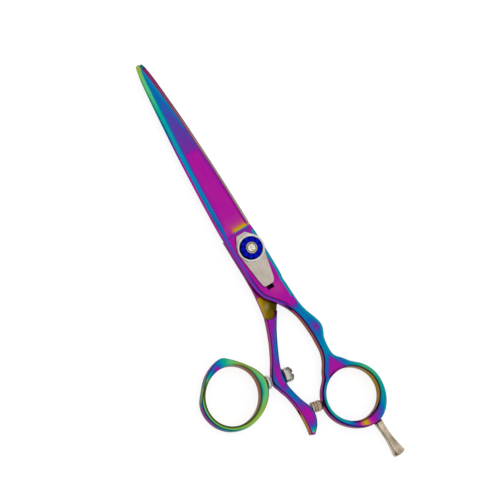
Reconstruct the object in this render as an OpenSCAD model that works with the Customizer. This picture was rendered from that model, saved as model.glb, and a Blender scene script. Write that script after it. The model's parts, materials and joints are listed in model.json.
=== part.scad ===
// Swivel-thumb thinning shears, closed. Millimetres.
// +Z is the pivot axis, +Y runs from the pivot to the blade tips, +X is the finger-ring side.
// The origin is on the pivot axis at the underside of the pivot bolt's head.

/* [Blades] */
// Distance from the pivot axis to the blade tips
blade_reach = 82.9; // [80:0.1:86]
// Thickness of each half in the lap around the pivot
lap_thickness = 2.55; // [2.3:0.05:2.8]
// Thickness of each blade at its tip
tip_thickness = 1.0; // [0.8:0.1:1.4]
// Gap between the two riding faces
ride_gap = 0.1; // [0.06:0.02:0.2]
// Number of gullets cut between the thinning teeth
gullet_count = 29; // [16:1:32]
// Distance from one gullet to the next
gullet_pitch = 2.15; // [1.9:0.05:2.2]
// Width of one gullet
gullet_width = 1.1; // [0.8:0.1:1.2]
// Depth of the gullet nearest the pivot
gullet_depth = 4.6; // [3:0.2:5]

/* [Pivot] */
// Diameter of the bolt's flat head under the rear half
bolt_head_d = 8.4; // [7.6:0.2:9]
// Height of that head
bolt_head_h = 1.0; // [0.8:0.1:1.2]
// Diameter of the bolt's shank and thread
bolt_d = 4.0; // [3.6:0.2:4.4]
// Outside diameter of the bearing sleeve in the rear half
sleeve_d = 5.8; // [5.6:0.1:6.4]
// Outside diameter of the slip washer between the halves
slip_washer_d = 10.2; // [9:0.2:11]
// Thickness of the slip washer
slip_washer_h = 0.4; // [0.3:0.1:0.6]

/* [Tension dial] */
// Thickness of the leaf spring plate
leaf_h = 0.6; // [0.5:0.1:0.8]
// Diameter of the seat washer on the leaf spring
seat_washer_d = 10.8; // [10:0.2:11.2]
// Thickness of the seat washer
seat_washer_h = 0.3; // [0.25:0.05:0.4]
// Diameter of the dial
dial_d = 9.1; // [8.6:0.1:9.6]
// Height of the dial's notched flange
dial_h = 1.0; // [0.9:0.1:1.2]
// Diameter of the dial's threaded neck, which passes through the seat washer and the leaf spring
neck_d = 5.6; // [5.4:0.1:5.8]
// Depth of that neck in the front half
neck_depth = 0.9; // [0.7:0.1:1]
// Number of click notches around the dial's rim
notch_count = 10; // [8:1:12]
// Diameter of the bezel that holds the crystal
bezel_d = 4.6; // [4.4:0.1:5]
// Diameter of the crystal
crystal_d = 3.2; // [2.8:0.1:3.4]

/* [Rings] */
// Inside diameter of the finger ring
finger_hole_d = 20.9; // [20:0.1:21.4]
// Width of the thumb hole across its narrow way
thumb_hole_short = 21.3; // [20.5:0.1:21.8]
// Width of the thumb hole across its long way
thumb_hole_long = 23.3; // [22.5:0.1:23.8]
// Height of both rings
ring_h = 6.0; // [5.6:0.1:6.4]

/* [Swivel and fittings] */
// Angle of the swivel axis, measured from +X
swivel_angle = -10.6; // [-12:0.2:-9]
// Angle of the bumper's axis through the finger ring's centre, measured from -X
bumper_angle = -12.4; // [-14:0.2:-10]
// Lean of the finger rest towards +X
rest_lean = 3.0; // [-3:0.5:4]
// Diameter of the swivel screw's shank
swivel_screw_d = 2.2; // [2:0.1:2.4]
// Diameter of the swivel screw's notched head
swivel_head_d = 5.9; // [5.4:0.1:5.9]
// Diameter of the bumper
bumper_d = 4.4; // [3.8:0.1:4.5]
// Length of the finger rest below its washer
rest_length = 15.0; // [12:0.5:18]
// Widest radius of the finger rest, at its free end
rest_end_r = 2.6; // [2.2:0.1:2.8]

/* [Hidden] */
$fn = 64;
CURVE_STEPS = 4;
OVERCUT = 1;
RUN_GAP = 0.05;

// Heights of the stack on the pivot, from the table up
rear_z = bolt_head_h + RUN_GAP;
rear_top = rear_z + lap_thickness;
front_z = rear_top + ride_gap;
front_top = front_z + lap_thickness;
leaf_top = front_top + leaf_h;
seat_top = leaf_top + seat_washer_h;
dial_z = seat_top + RUN_GAP;
dial_top = dial_z + dial_h;
bezel_z = dial_top - 0.3;
crystal_z = bezel_z + 0.25;
neck_z = front_top - neck_depth;
neck_bore_d = neck_d + 4 * RUN_GAP;

// Heights of the handles
shank_z = 0.5;
shank_top = 5.7;
axis_z = ring_h / 2;

// Centres of the rings and of the swivel boss
finger_ring_at = [4.8, -68];
thumb_ring_at = [-35.85, -44.6];
thumb_hole_turn = 45;
swivel_at = [-17, -47.95];

// Radii about the pivot where each handle reaches its full height, clear of the other half
finger_step_r = 24;
thumb_step_r = 27.8;
slot_box = [[-2.6, -17.3], [0.2, -14.8]];
rest_x = 8.0;
rest_seat_y = -82.15;
rest_washer_h = 0.4;
stud_r = 1.1;
bumper_gap = 0.1;
bumper_base_r = 16.9;

// Each row is [x, y, width] of a bar's centreline, from the pivot outwards
finger_lap_rows = [[-1.2, 9.2, 12.1], [-1.0, 4, 12.6], [-0.9, -4, 12.5], [-0.9, -11, 12.4],
    [-0.6, -16, 11.6], [0.8, -20, 9.0], [2.2, -24, 6.2], [3.3, -28, 4.0]];
finger_shank_rows = [[1.2, -20.5, 7.8], [2.4, -24, 5.8], [3.45, -27.5, 4.3], [4.5, -31.5, 3.8],
    [5.6, -36, 4.8], [6.0, -39.3, 5.2], [5.1, -43.5, 3.5], [4.6, -48, 3.2], [4.2, -51.5, 4.9],
    [4.25, -54.8, 9.8], [4.5, -58.7, 14.2]];
thumb_lap_rows = [[-1.0, 7.4, 12.6], [-1.0, 0, 12.6], [-1.1, -8, 12.8], [-1.9, -14, 11.6],
    [-3.7, -19, 8.7], [-5.6, -23.5, 6.0], [-7.2, -27.5, 4.2], [-8.2, -30, 3.4]];
thumb_shank_rows = [[-5.9, -24.5, 5.4], [-7.3, -27.5, 4.2], [-9.05, -31, 3.3], [-11.5, -36, 2.8],
    [-14.3, -41.5, 3.0], [-16.1, -45, 3.8], [-17.3, -48.4, 5.1], [-17.1, -51.7, 3.8],
    [-16.2, -55.5, 3.0], [-15.2, -60, 3.4], [-14.4, -64, 4.7], [-14.4, -67, 4.9],
    [-15.3, -70.2, 3.8], [-16.9, -73.2, 1.6]];

// Blade edges, each row [x, y] from the heel to the tip; y is scaled to blade_reach
blade_design_reach = 82.9;
front_spine = [[-7.1, 4], [-7.3, 10], [-6.9, 19.5], [-6.4, 28], [-5.8, 37], [-5.1, 46.5], [-4.2, 56],
    [-3.3, 65.5], [-2.2, 75.5], [-1.1, 81.4], [-0.6, 82.7]];
front_edge = [[4.8, 4], [4.8, 10], [4.8, 18], [4.7, 27], [4.5, 36], [4.1, 45], [3.6, 55], [2.9, 65],
    [1.9, 75], [1.1, 81], [0.5, 82.9]];
rear_teeth = [[-4.8, 4], [-4.6, 10], [-4.4, 18], [-4.1, 27], [-3.7, 36], [-3.2, 45], [-2.6, 55],
    [-2.0, 65], [-1.3, 75], [0.1, 81], [0.6, 82.4]];
rear_spine = [[5.1, 4], [5.5, 10], [5.5, 18], [5.4, 27], [5.2, 36], [4.9, 46], [4.5, 56], [3.9, 65.5],
    [3.2, 75], [2.4, 80.8], [1.7, 82.6]];
first_gullet_y = 17.5;
last_gullet_depth = 1.9;

// Catmull-Rom curve through rows of any length, CURVE_STEPS pieces between rows
function row_at(p, i) = p[max(0, min(len(p) - 1, i))];
function curve_point(a, b, c, d, t) =
    0.5 * (2 * b + (c - a) * t + (2 * a - 5 * b + 4 * c - d) * t * t
    + (3 * b - a - 3 * c + d) * t * t * t);
function curve(p) = [
    for (i = [0:len(p) - 2], k = [0:CURVE_STEPS - 1])
        curve_point(row_at(p, i - 1), p[i], p[i + 1], row_at(p, i + 2), k / CURVE_STEPS),
    p[len(p) - 1]
];
function closed_curve(p) = [
    for (i = [0:len(p) - 1], k = [0:CURVE_STEPS - 1])
        curve_point(p[(i + len(p) - 1) % len(p)], p[i], p[(i + 1) % len(p)],
            p[(i + 2) % len(p)], k / CURVE_STEPS)
];
function reversed(p) = [for (i = [len(p) - 1:-1:0]) p[i]];
function unit(v) = v / norm(v);

// Both sides of a bar, moved in by inset, as one outline
function heading(c, i) =
    unit([row_at(c, i + 1)[0] - row_at(c, i - 1)[0], row_at(c, i + 1)[1] - row_at(c, i - 1)[1]]);
function bar_side(c, inset, side) = [
    for (i = [0:len(c) - 1])
        let (h = heading(c, i), half = max(c[i][2] / 2 - inset, 0.1))
        [c[i][0] - side * h[1] * half, c[i][1] + side * h[0] * half]
];
function bar_outline(rows, inset) =
    let (c = curve(rows)) concat(bar_side(c, inset, 1), reversed(bar_side(c, inset, -1)));

// A bar with stepped, near-round edges: nested layers, each narrower and taller than the last
ROUND_LAYERS = [[0, 1.5], [0.35, 0.6], [0.95, 0]];
module bar(rows, low, high) {
    for (layer = ROUND_LAYERS)
        translate([0, 0, low + layer[1]])
            linear_extrude(high - low - 2 * layer[1])
                polygon(bar_outline(rows, layer[0]));
}

// A flat lap whose outer face has a chamfered border, on top or underneath
module lap(rows, low, chamfer_low, chamfer_high) {
    translate([0, 0, low + chamfer_low])
        linear_extrude(lap_thickness - chamfer_low - chamfer_high)
            polygon(bar_outline(rows, 0));
    translate([0, 0, low])
        linear_extrude(lap_thickness)
            polygon(bar_outline(rows, 0.7));
}

// Blade plan between two edge curves, each moved in by inset
function scaled(p) = [for (q = p) [q[0], q[1] * blade_reach / blade_design_reach]];
function shifted(p, dx) = [for (q = p) [q[0] + dx, q[1]]];
module blade_plan(left, right, inset) {
    polygon(concat(shifted(curve(scaled(left)), inset),
        reversed(shifted(curve(scaled(right)), -inset))));
}
// Height of the blade at a share of its full thickness, thinning towards the tip
module blade_side(face_z, way, share) {
    heel = face_z + way * lap_thickness * share;
    tip = face_z + way * tip_thickness * share;
    translate([-15, 0, 0])
        rotate([90, 0, 90])
            linear_extrude(30)
                polygon([[0, face_z], [blade_reach + OVERCUT, face_z],
                    [blade_reach + OVERCUT, tip], [0, heel]]);
}
BLADE_LAYERS = [[0, 0.4], [0.25, 0.75], [0.55, 0.97]];
module blade(left, right, face_z, way) {
    for (layer = BLADE_LAYERS)
        intersection() {
            linear_extrude(front_top) blade_plan(left, right, layer[0]);
            blade_side(face_z, way, layer[1]);
        }
}

// Everything outside a radius about the pivot, over the full height of the handles
module beyond(radius) {
    difference() {
        translate([-30, -90, -OVERCUT]) cube([60, 90, ring_h + 2 * OVERCUT]);
        translate([0, 0, -2 * OVERCUT]) cylinder(r = radius, h = ring_h + 4 * OVERCUT, $fn = 128);
    }
}

// Moves things drawn along +Z onto the swivel axis, or onto the bumper axis.
// On the swivel axis z becomes the distance from the boss centre towards +X.
// On the bumper axis z becomes the distance from the finger ring's centre.
module on_swivel_axis() {
    translate([swivel_at[0], swivel_at[1], axis_z])
        rotate([0, 0, swivel_angle]) rotate([0, 90, 0]) children();
}
module on_bumper_axis() {
    translate([finger_ring_at[0], finger_ring_at[1], axis_z])
        rotate([0, 0, 180 + bumper_angle]) rotate([0, 90, 0]) children();
}
// Moves things drawn along +Z onto the finger rest's axis, pointing away from the ring
module on_rest_axis() {
    translate([rest_x, rest_seat_y, axis_z]) rotate([0, 0, rest_lean]) rotate([90, 0, 0]) children();
}
module tube(outer_d, inner_d, h) {
    difference() {
        cylinder(d = outer_d, h = h);
        translate([0, 0, -OVERCUT]) cylinder(d = inner_d, h = h + 2 * OVERCUT);
    }
}
// Bolt section: a circle with one flat that keys it in the front half
module keyed_section() {
    intersection() {
        circle(d = bolt_d);
        translate([-bolt_d, -bolt_d]) square([bolt_d * 1.85, bolt_d * 2]);
    }
}

// Finger ring outline: nearly round, thickened where the finger rest screws in
function finger_ring_r(a) = 12.4 + 0.2 * cos(a + 40) + 1.95 * exp(-pow((a + 74) / 40, 2));
module finger_ring_plan(inset) {
    translate(finger_ring_at)
        polygon([for (a = [-256:6:98]) (finger_ring_r(a) - inset) * [cos(a), sin(a)]]);
}
module finger_ring_body() {
    difference() {
        for (layer = [[0, 1.5], [0.25, 0.6], [0.7, 0]])
            translate([0, 0, layer[1]])
                linear_extrude(ring_h - 2 * layer[1]) finger_ring_plan(layer[0]);
        translate([0, rest_seat_y - 5, axis_z]) cube([30, 10, 20], center = true);
    }
}
// A straight bore between two flared mouths
module eased_bore(d, h, land) {
    flare = (h - land) / 2;
    translate([0, 0, -OVERCUT]) cylinder(d = d, h = h + 2 * OVERCUT, $fn = 96);
    translate([0, 0, -0.01]) cylinder(d1 = d + 1.2, d2 = d, h = flare, $fn = 96);
    translate([0, 0, h - flare + 0.01]) cylinder(d1 = d, d2 = d + 1.2, h = flare, $fn = 96);
}

// Front half: plain blade, lap, shank and finger ring in one forging
module finger_half() {
    color([0.62, 0.12, 0.66])
        difference() {
            union() {
                blade(front_spine, front_edge, front_z, 1);
                lap(finger_lap_rows, front_z, 0, 0.7);
                intersection() {
                    bar(finger_shank_rows, shank_z, shank_top);
                    beyond(finger_step_r);
                }
                finger_ring_body();
            }
            translate([0, 0, front_z - OVERCUT])
                linear_extrude(lap_thickness + 2 * OVERCUT) keyed_section();
            translate([0, 0, neck_z - 0.1]) cylinder(d = neck_bore_d, h = neck_depth + OVERCUT);
            translate([slot_box[0][0], slot_box[0][1], front_top - 1.5])
                cube([slot_box[1][0] - slot_box[0][0], slot_box[1][1] - slot_box[0][1], 3]);
            translate([finger_ring_at[0], finger_ring_at[1], 0])
                eased_bore(finger_hole_d, ring_h, 4);
            on_rest_axis() translate([0, 0, -7]) cylinder(r = stud_r + RUN_GAP, h = 7 + OVERCUT);
        }
}

// Gullets between the teeth, shallower towards the tip, with round bottoms
module gullets() {
    edge = curve(scaled(rear_teeth));
    for (i = [0:gullet_count - 1]) {
        y = first_gullet_y + i * gullet_pitch;
        depth = gullet_depth + (last_gullet_depth - gullet_depth) * i / (gullet_count - 1);
        x = lookup(y, [for (p = edge) [p[1], p[0]]]);
        translate([x, y, 0])
            linear_extrude(front_z)
                polygon(concat([[-4, -gullet_width / 2]],
                    [for (a = [-90:22.5:90]) [depth + gullet_width / 2 * cos(a), gullet_width / 2 * sin(a)]],
                    [[-4, gullet_width / 2]]));
    }
}

// Rear half: toothed blade, lap, shank with the swivel boss, and tail
module thumb_half() {
    color([0.35, 0.2, 0.75])
        difference() {
            union() {
                difference() {
                    blade(rear_teeth, rear_spine, rear_top, -1);
                    gullets();
                }
                lap(thumb_lap_rows, rear_z, 0.5, 0);
                intersection() {
                    bar(thumb_shank_rows, shank_z, shank_top);
                    beyond(thumb_step_r);
                }
            }
            translate([0, 0, rear_z - OVERCUT])
                cylinder(d = sleeve_d, h = lap_thickness + 2 * OVERCUT);
            translate([0, 0, rear_top + RUN_GAP - slip_washer_h])
                cylinder(d = slip_washer_d, h = slip_washer_h);
            on_swivel_axis() translate([0, 0, -6]) cylinder(r = 1.55, h = 12);
            on_swivel_axis() translate([0, 0, 2.4]) cylinder(r = 3.1, h = 6);
            on_swivel_axis() translate([0, 0, -8.85]) cylinder(r = 3.1, h = 6);
            on_bumper_axis() translate([0, 0, bumper_base_r - 5]) cylinder(r = 2.4, h = 5);
            on_bumper_axis() translate([0, 0, bumper_base_r - OVERCUT]) cylinder(r = stud_r, h = 9);
        }
}

// Thumb ring: an eased oval with a spur at the top and a flat for the swivel
thumb_ring_points = [[-34.8, -30.2], [-38.2, -31.3], [-41.5, -33.3], [-45, -36.9],
    [-47.9, -40.6], [-49.0, -44.5], [-48.6, -48.6], [-46.8, -52.6], [-43.2, -56], [-38, -57.8],
    [-32.3, -57.2], [-27.4, -55], [-23.8, -51.7], [-22, -48.2], [-21.4, -44.8], [-22.6, -40.8],
    [-24.8, -37.3], [-27, -34.5], [-29.3, -32.1], [-31.9, -30.1]];
module thumb_ring_plan(inset) {
    shrink = 1 - inset / 13;
    translate(thumb_ring_at) scale(shrink) translate(-thumb_ring_at)
        polygon(closed_curve(thumb_ring_points));
}
module thumb_oval(grow) {
    long_r = thumb_hole_long / 2 + grow;
    short_r = thumb_hole_short / 2 + grow;
    translate(thumb_ring_at) rotate(thumb_hole_turn)
        polygon([for (a = [0:6:354]) [long_r * cos(a), short_r * sin(a)]]);
}
module thumb_ring() {
    color([0.25, 0.62, 0.3])
        difference() {
            for (layer = [[0, 1.5], [0.25, 0.6], [0.7, 0]])
                translate([0, 0, layer[1]])
                    linear_extrude(ring_h - 2 * layer[1]) thumb_ring_plan(layer[0]);
            translate([0, 0, -OVERCUT]) linear_extrude(ring_h + 2 * OVERCUT) thumb_oval(0);
            for (z = [-OVERCUT, ring_h - 0.5])
                translate([0, 0, z]) linear_extrude(0.5 + OVERCUT) thumb_oval(0.45);
            on_swivel_axis() translate([0, 0, -4.6]) cylinder(r = 6, h = 10);
            on_swivel_axis() translate([0, 0, -7.6]) cylinder(d = swivel_screw_d, h = 6);
        }
}

// Keyed bolt that passes up through both halves and carries the dial's thread
module pivot_bolt() {
    color([0.72, 0.72, 0.74]) {
        cylinder(d1 = bolt_head_d - 0.6, d2 = bolt_head_d, h = 0.3);
        translate([0, 0, 0.3]) cylinder(d = bolt_head_d, h = bolt_head_h - 0.3);
        cylinder(d = bolt_d, h = front_z - RUN_GAP);
        translate([0, 0, front_z - 0.5]) linear_extrude(lap_thickness + 1) keyed_section();
        translate([0, 0, front_top]) cylinder(d = bolt_d, h = bezel_z - 0.1 - front_top);
    }
}
// Bearing sleeve pressed into the rear half; it turns on the bolt
module pivot_sleeve() {
    color([0.78, 0.62, 0.3])
        translate([0, 0, rear_z]) tube(sleeve_d, bolt_d + 2 * RUN_GAP, lap_thickness);
}
// Low-friction washer in the rear half's recess
module slip_washer() {
    color([0.92, 0.92, 0.88])
        translate([0, 0, rear_top + RUN_GAP - slip_washer_h])
            difference() {
                cylinder(d = slip_washer_d, h = slip_washer_h);
                translate([0, 0, -OVERCUT]) cylinder(d = sleeve_d, h = 2 * OVERCUT);
            }
}

// Leaf spring: an eye with a flat-topped point, and a tail hooked into the slot
module leaf_spring() {
    color([0.75, 0.73, 0.68]) {
        difference() {
            translate([0, 0, front_top])
                linear_extrude(leaf_h) {
                    circle(d = seat_washer_d + 0.2);
                    polygon([[-2.6, 6.6], [1.3, 6.6], [3.7, 4.1], [0, 0], [-4.8, 2.8]]);
                    polygon([[-5.2, -1.8], [-4.9, -5], [-4.1, -12], [-3.7, -14.5], [-3.3, -15.2],
                        [-2.6, -15.6], [0.1, -15.6], [0.9, -15.2], [1.5, -14.3], [2.2, -12],
                        [3.1, -8], [4.0, -4.2], [5.1, -1.8]]);
                }
            translate([0, 0, front_top - OVERCUT])
                cylinder(d = neck_bore_d, h = leaf_h + 2 * OVERCUT);
        }
        translate([slot_box[0][0] + 0.3, slot_box[1][1] - 0.7, front_top - 1.4]) cube([2.2, 0.6, 1.6]);
    }
}
// Polished seat for the dial
module seat_washer() {
    color([0.85, 0.84, 0.82])
        translate([0, 0, leaf_top]) tube(seat_washer_d, neck_bore_d, seat_washer_h);
}
// Dished washer hidden in the dial's underside
module spring_washer() {
    color([0.5, 0.5, 0.52])
        translate([0, 0, seat_top]) tube(7.8, neck_d + 0.3, 0.35);
}
// Notched tension nut with a threaded neck
module tension_dial() {
    color([0.02, 0.02, 0.6])
        difference() {
            union() {
                translate([0, 0, dial_z]) cylinder(d = dial_d, h = dial_h - 0.3);
                translate([0, 0, dial_top - 0.3]) cylinder(d1 = dial_d, d2 = dial_d - 0.6, h = 0.3);
                translate([0, 0, neck_z]) cylinder(d = neck_d, h = dial_z + 0.5 - neck_z);
            }
            translate([0, 0, neck_z - OVERCUT]) cylinder(d = bolt_d + 2 * RUN_GAP, h = 6);
            translate([0, 0, dial_z - OVERCUT]) tube(8.0, neck_d, OVERCUT + 0.35);
            translate([0, 0, bezel_z]) cylinder(d = bezel_d, h = OVERCUT);
            for (i = [0:notch_count - 1])
                rotate([0, 0, i * 360 / notch_count])
                    translate([dial_d / 2 + 0.1, 0, dial_z + 0.4])
                        cylinder(r = 0.5, h = dial_h, $fn = 24);
        }
}
// Bezel pressed into the top of the dial
module dial_bezel() {
    color([0.8, 0.78, 0.72])
        translate([0, 0, bezel_z])
            difference() {
                union() {
                    cylinder(d = bezel_d, h = 0.4);
                    translate([0, 0, 0.4]) cylinder(d1 = bezel_d, d2 = bezel_d - 0.7, h = 0.25);
                }
                translate([0, 0, crystal_z - bezel_z]) cylinder(d = crystal_d, h = 2);
            }
}
// Domed crystal set in the bezel
module dial_crystal() {
    r = crystal_d / 2;
    color([0.9, 0.95, 0.95])
        translate([0, 0, crystal_z])
            rotate_extrude()
                polygon(concat([[0, 0], [r, 0]],
                    [for (a = [0:10:90]) [r * cos(a), 0.2 + 0.45 * sin(a)]]));
}

// Swivel screw: threaded into the ring, turning in the sleeve, with a notched head
module swivel_screw() {
    color([0.78, 0.77, 0.74])
        on_swivel_axis()
            difference() {
                union() {
                    translate([0, 0, -7.6]) cylinder(d = swivel_screw_d, h = 10.6);
                    translate([0, 0, 2.8]) cylinder(d = swivel_head_d, h = 2.5);
                    translate([0, 0, 5.3])
                        cylinder(d1 = swivel_head_d, d2 = swivel_head_d - 1.6, h = 0.8);
                }
                translate([-4, -0.45, 5.4]) cube([8, 0.9, 2]);
                for (i = [0:9])
                    rotate([0, 0, 18 + i * 36])
                        translate([swivel_head_d / 2 + 0.15, 0, 4.3])
                            cylinder(r = 0.45, h = 3, $fn = 24);
            }
}
// Sleeve pressed through the boss; its end is the stub beside the ring
module swivel_sleeve() {
    color([0.7, 0.66, 0.6])
        on_swivel_axis()
            translate([0, 0, -3.15]) tube(3.1, swivel_screw_d + 2 * RUN_GAP, 5.5);
}
// Dark washer between the boss and the screw's head
module swivel_head_washer() {
    color([0.08, 0.1, 0.2])
        on_swivel_axis()
            translate([0, 0, 2.4]) tube(5.4, swivel_screw_d + 2 * RUN_GAP, 0.35);
}
// Bright washer between the ring and the sleeve
module swivel_ring_washer() {
    color([0.85, 0.85, 0.87])
        on_swivel_axis() translate([0, 0, -4.6]) tube(5.6, swivel_screw_d, 1.4);
}

// Ribbed bumper that stops the tail against the finger ring
module bumper() {
    tip_r = finger_ring_r(180 + bumper_angle - 360) + bumper_gap;
    length = bumper_base_r - tip_r;
    r = bumper_d / 2;
    color([0.45, 0.38, 0.33])
        on_bumper_axis()
            translate([0, 0, bumper_base_r]) rotate([180, 0, 0])
                rotate_extrude()
                    polygon([[0, 0], [r - 0.2, 0], [r, 0.3], [r, 0.9], [r - 0.35, 1.15], [r, 1.4],
                        [r, 1.9], [r - 0.35, 2.15], [r, 2.4], [r, length - 1.2],
                        [r - 0.3, length - 0.6], [r - 0.9, length - 0.15], [0, length]]);
}
// Stud that holds the bumper in the tail
module bumper_stud() {
    color([0.6, 0.6, 0.62])
        on_bumper_axis() translate([0, 0, bumper_base_r]) cylinder(r = stud_r, h = 3.4);
}

// Flared finger rest with its threaded stud
module finger_rest() {
    top = rest_washer_h + RUN_GAP;
    l = rest_length;
    color([0.78, 0.72, 0.62])
        on_rest_axis() {
            translate([0, 0, top])
                rotate_extrude()
                    polygon(concat([[0, 0], [1.6, 0], [1.75, 0.2]],
                        curve([[1.72, 0.6], [1.6, 0.2 * l], [1.55, 0.36 * l], [1.7, 0.52 * l],
                            [2.1, 0.73 * l], [rest_end_r, 0.92 * l]]),
                        [[rest_end_r - 0.1, 0.955 * l], [rest_end_r - 0.6, 0.985 * l],
                            [rest_end_r - 1.3, l], [0, l]]));
            translate([0, 0, -3.2]) cylinder(r = stud_r, h = 4);
        }
}
// Dark washer under the finger rest
module rest_washer() {
    color([0.05, 0.05, 0.06])
        on_rest_axis() tube(3.5, 2 * (stud_r + RUN_GAP), rest_washer_h);
}

finger_half();
thumb_half();
thumb_ring();
pivot_bolt();
pivot_sleeve();
slip_washer();
leaf_spring();
seat_washer();
spring_washer();
tension_dial();
dial_bezel();
dial_crystal();
swivel_screw();
swivel_sleeve();
swivel_head_washer();
swivel_ring_washer();
bumper();
bumper_stud();
finger_rest();
rest_washer();
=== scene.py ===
"""Looks of the closed swivel-thumb thinning shears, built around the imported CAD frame.

Lengths in this script are millimetres until a mesh is made, and MM turns them into metres.
+Z is the pivot axis, +Y runs to the blade tips and +X is the finger-ring side, as in the CAD model.
The two halves and the thumb ring are closed meshes contoured from distance functions.
"""
import json
import math
from functools import reduce

import bpy
import numpy as np
from mathutils import Matrix, Vector


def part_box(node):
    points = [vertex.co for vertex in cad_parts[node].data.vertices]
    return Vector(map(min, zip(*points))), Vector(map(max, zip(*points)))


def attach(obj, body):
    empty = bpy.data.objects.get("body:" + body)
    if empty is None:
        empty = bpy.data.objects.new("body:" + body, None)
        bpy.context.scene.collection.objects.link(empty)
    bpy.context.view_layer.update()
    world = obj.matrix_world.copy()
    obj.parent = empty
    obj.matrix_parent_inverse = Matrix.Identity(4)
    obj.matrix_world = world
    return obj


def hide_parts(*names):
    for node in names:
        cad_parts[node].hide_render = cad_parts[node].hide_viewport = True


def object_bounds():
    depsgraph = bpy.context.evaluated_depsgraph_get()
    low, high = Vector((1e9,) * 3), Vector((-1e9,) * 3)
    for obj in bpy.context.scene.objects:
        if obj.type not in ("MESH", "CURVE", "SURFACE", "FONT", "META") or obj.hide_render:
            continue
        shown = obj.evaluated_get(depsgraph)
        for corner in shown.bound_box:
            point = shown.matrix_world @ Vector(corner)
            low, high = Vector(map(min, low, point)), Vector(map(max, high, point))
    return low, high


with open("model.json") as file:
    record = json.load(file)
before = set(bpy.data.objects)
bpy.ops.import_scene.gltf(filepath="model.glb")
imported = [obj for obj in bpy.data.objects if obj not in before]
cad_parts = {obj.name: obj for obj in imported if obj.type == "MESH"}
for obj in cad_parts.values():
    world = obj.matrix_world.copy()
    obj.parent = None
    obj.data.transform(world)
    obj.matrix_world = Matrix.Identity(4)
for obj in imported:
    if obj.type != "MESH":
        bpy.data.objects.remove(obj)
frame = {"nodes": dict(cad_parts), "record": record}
CAD_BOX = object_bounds()
MM = 0.001
VERTEX_PULL, CREASE = 0.04, 28
SHARP_ANGLE = math.radians(32)


def box_mm(node):
    low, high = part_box(node)
    return np.array(low) / MM, np.array(high) / MM


# Heights of the stack on the pivot, read from the CAD nodes
REAR_Z, REAR_TOP = (b[2] for b in box_mm("pivot_sleeve"))
LAP_H = REAR_TOP - REAR_Z
FRONT_TOP = box_mm("finger_half")[1][2]
FRONT_Z = FRONT_TOP - LAP_H
LEAF_TOP = box_mm("leaf_spring")[1][2]
SEAT_TOP = box_mm("seat_washer")[1][2]
DIAL_Z = SEAT_TOP + 0.05
NECK_Z, DIAL_TOP = (b[2] for b in box_mm("tension_dial"))
BEZEL_Z = box_mm("dial_bezel")[0][2]
CRYSTAL_Z, CRYSTAL_TOP = (b[2] for b in box_mm("dial_crystal"))
RING_H = box_mm("thumb_ring")[1][2]
SHANK_Z, SHANK_TOP = 0.5, 5.7
# Rounding of the shanks' and the rings' edges
SHANK_ROUND, RING_ROUND = 0.95, 1.25
AXIS_Z = RING_H / 2
BLADE_REACH = box_mm("finger_half")[1][1]

# Places shared with the CAD design
FINGER_RING = (4.8, -68.0)
FINGER_HOLE_R = 10.45
THUMB_RING = (-35.85, -44.6)
THUMB_HOLE = (23.3 / 2, 21.3 / 2, 45.0)
SWIVEL_AT = (-17.0, -47.95)
SWIVEL_ANGLE = math.radians(-10.6)
BUMPER_ANGLE = math.radians(180 - 12.4)
BUMPER_BASE_R = 16.9
FINGER_STEP_R = 24.0
# Pocket beside the finger half where the thumb half stays low: a capsule, and where its shank may start
POCKET, POCKET_R, POCKET_Y = ((-6.9, -25.0), (-5.0, -18.0)), 2.55, 24.0
REST_AT = (8.0, -82.15)
REST_LEAN = math.radians(3.0)
NECK_R, NECK_BORE_R = 2.8, 2.9
DIAL_R, DIAL_NOTCHES = 4.55, 10
SCREW_HEAD_R = 2.95
SPRING_SLOT = ((-2.6, -17.3), (0.2, -14.8))

# Bars as rows of [x, y, width] along their centrelines, from the pivot outwards
FINGER_LAP = [[-1.2, 9.2, 12.1], [-1.0, 4, 12.6], [-0.9, -4, 12.5], [-0.9, -11, 12.4],
              [-0.6, -16, 11.6], [0.8, -20, 9.0], [2.2, -24, 6.2], [3.3, -28, 4.0]]
FINGER_SHANK = [[1.2, -20.5, 7.8], [2.4, -24, 5.8], [3.45, -27.5, 4.3], [4.5, -31.5, 3.8],
                [5.6, -36, 4.8], [6.0, -39.3, 5.2], [5.1, -43.5, 3.5], [4.6, -48, 3.2],
                [4.2, -51.5, 4.9], [4.25, -54.8, 9.8], [4.5, -58.7, 14.2]]
THUMB_LAP = [[-1.0, 7.4, 12.5], [-1.0, 0, 12.5], [-1.0, -8, 12.4], [-1.8, -14, 11.4],
             [-3.7, -19, 8.7], [-5.6, -23.5, 6.0], [-7.2, -27.5, 4.2], [-8.2, -30, 3.4]]
THUMB_SHANK = [[-5.9, -24.5, 5.4], [-7.3, -27.5, 4.2], [-9.05, -31, 3.3], [-11.5, -36, 2.8],
               [-14.3, -41.5, 3.0], [-16.1, -45, 3.8], [-17.3, -48.4, 5.1], [-17.1, -51.7, 3.8],
               [-16.2, -55.5, 3.0], [-15.2, -60, 3.4], [-14.4, -64, 4.7], [-14.4, -67, 4.9],
               [-15.3, -70.2, 3.8], [-16.9, -73.2, 1.6]]
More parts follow.
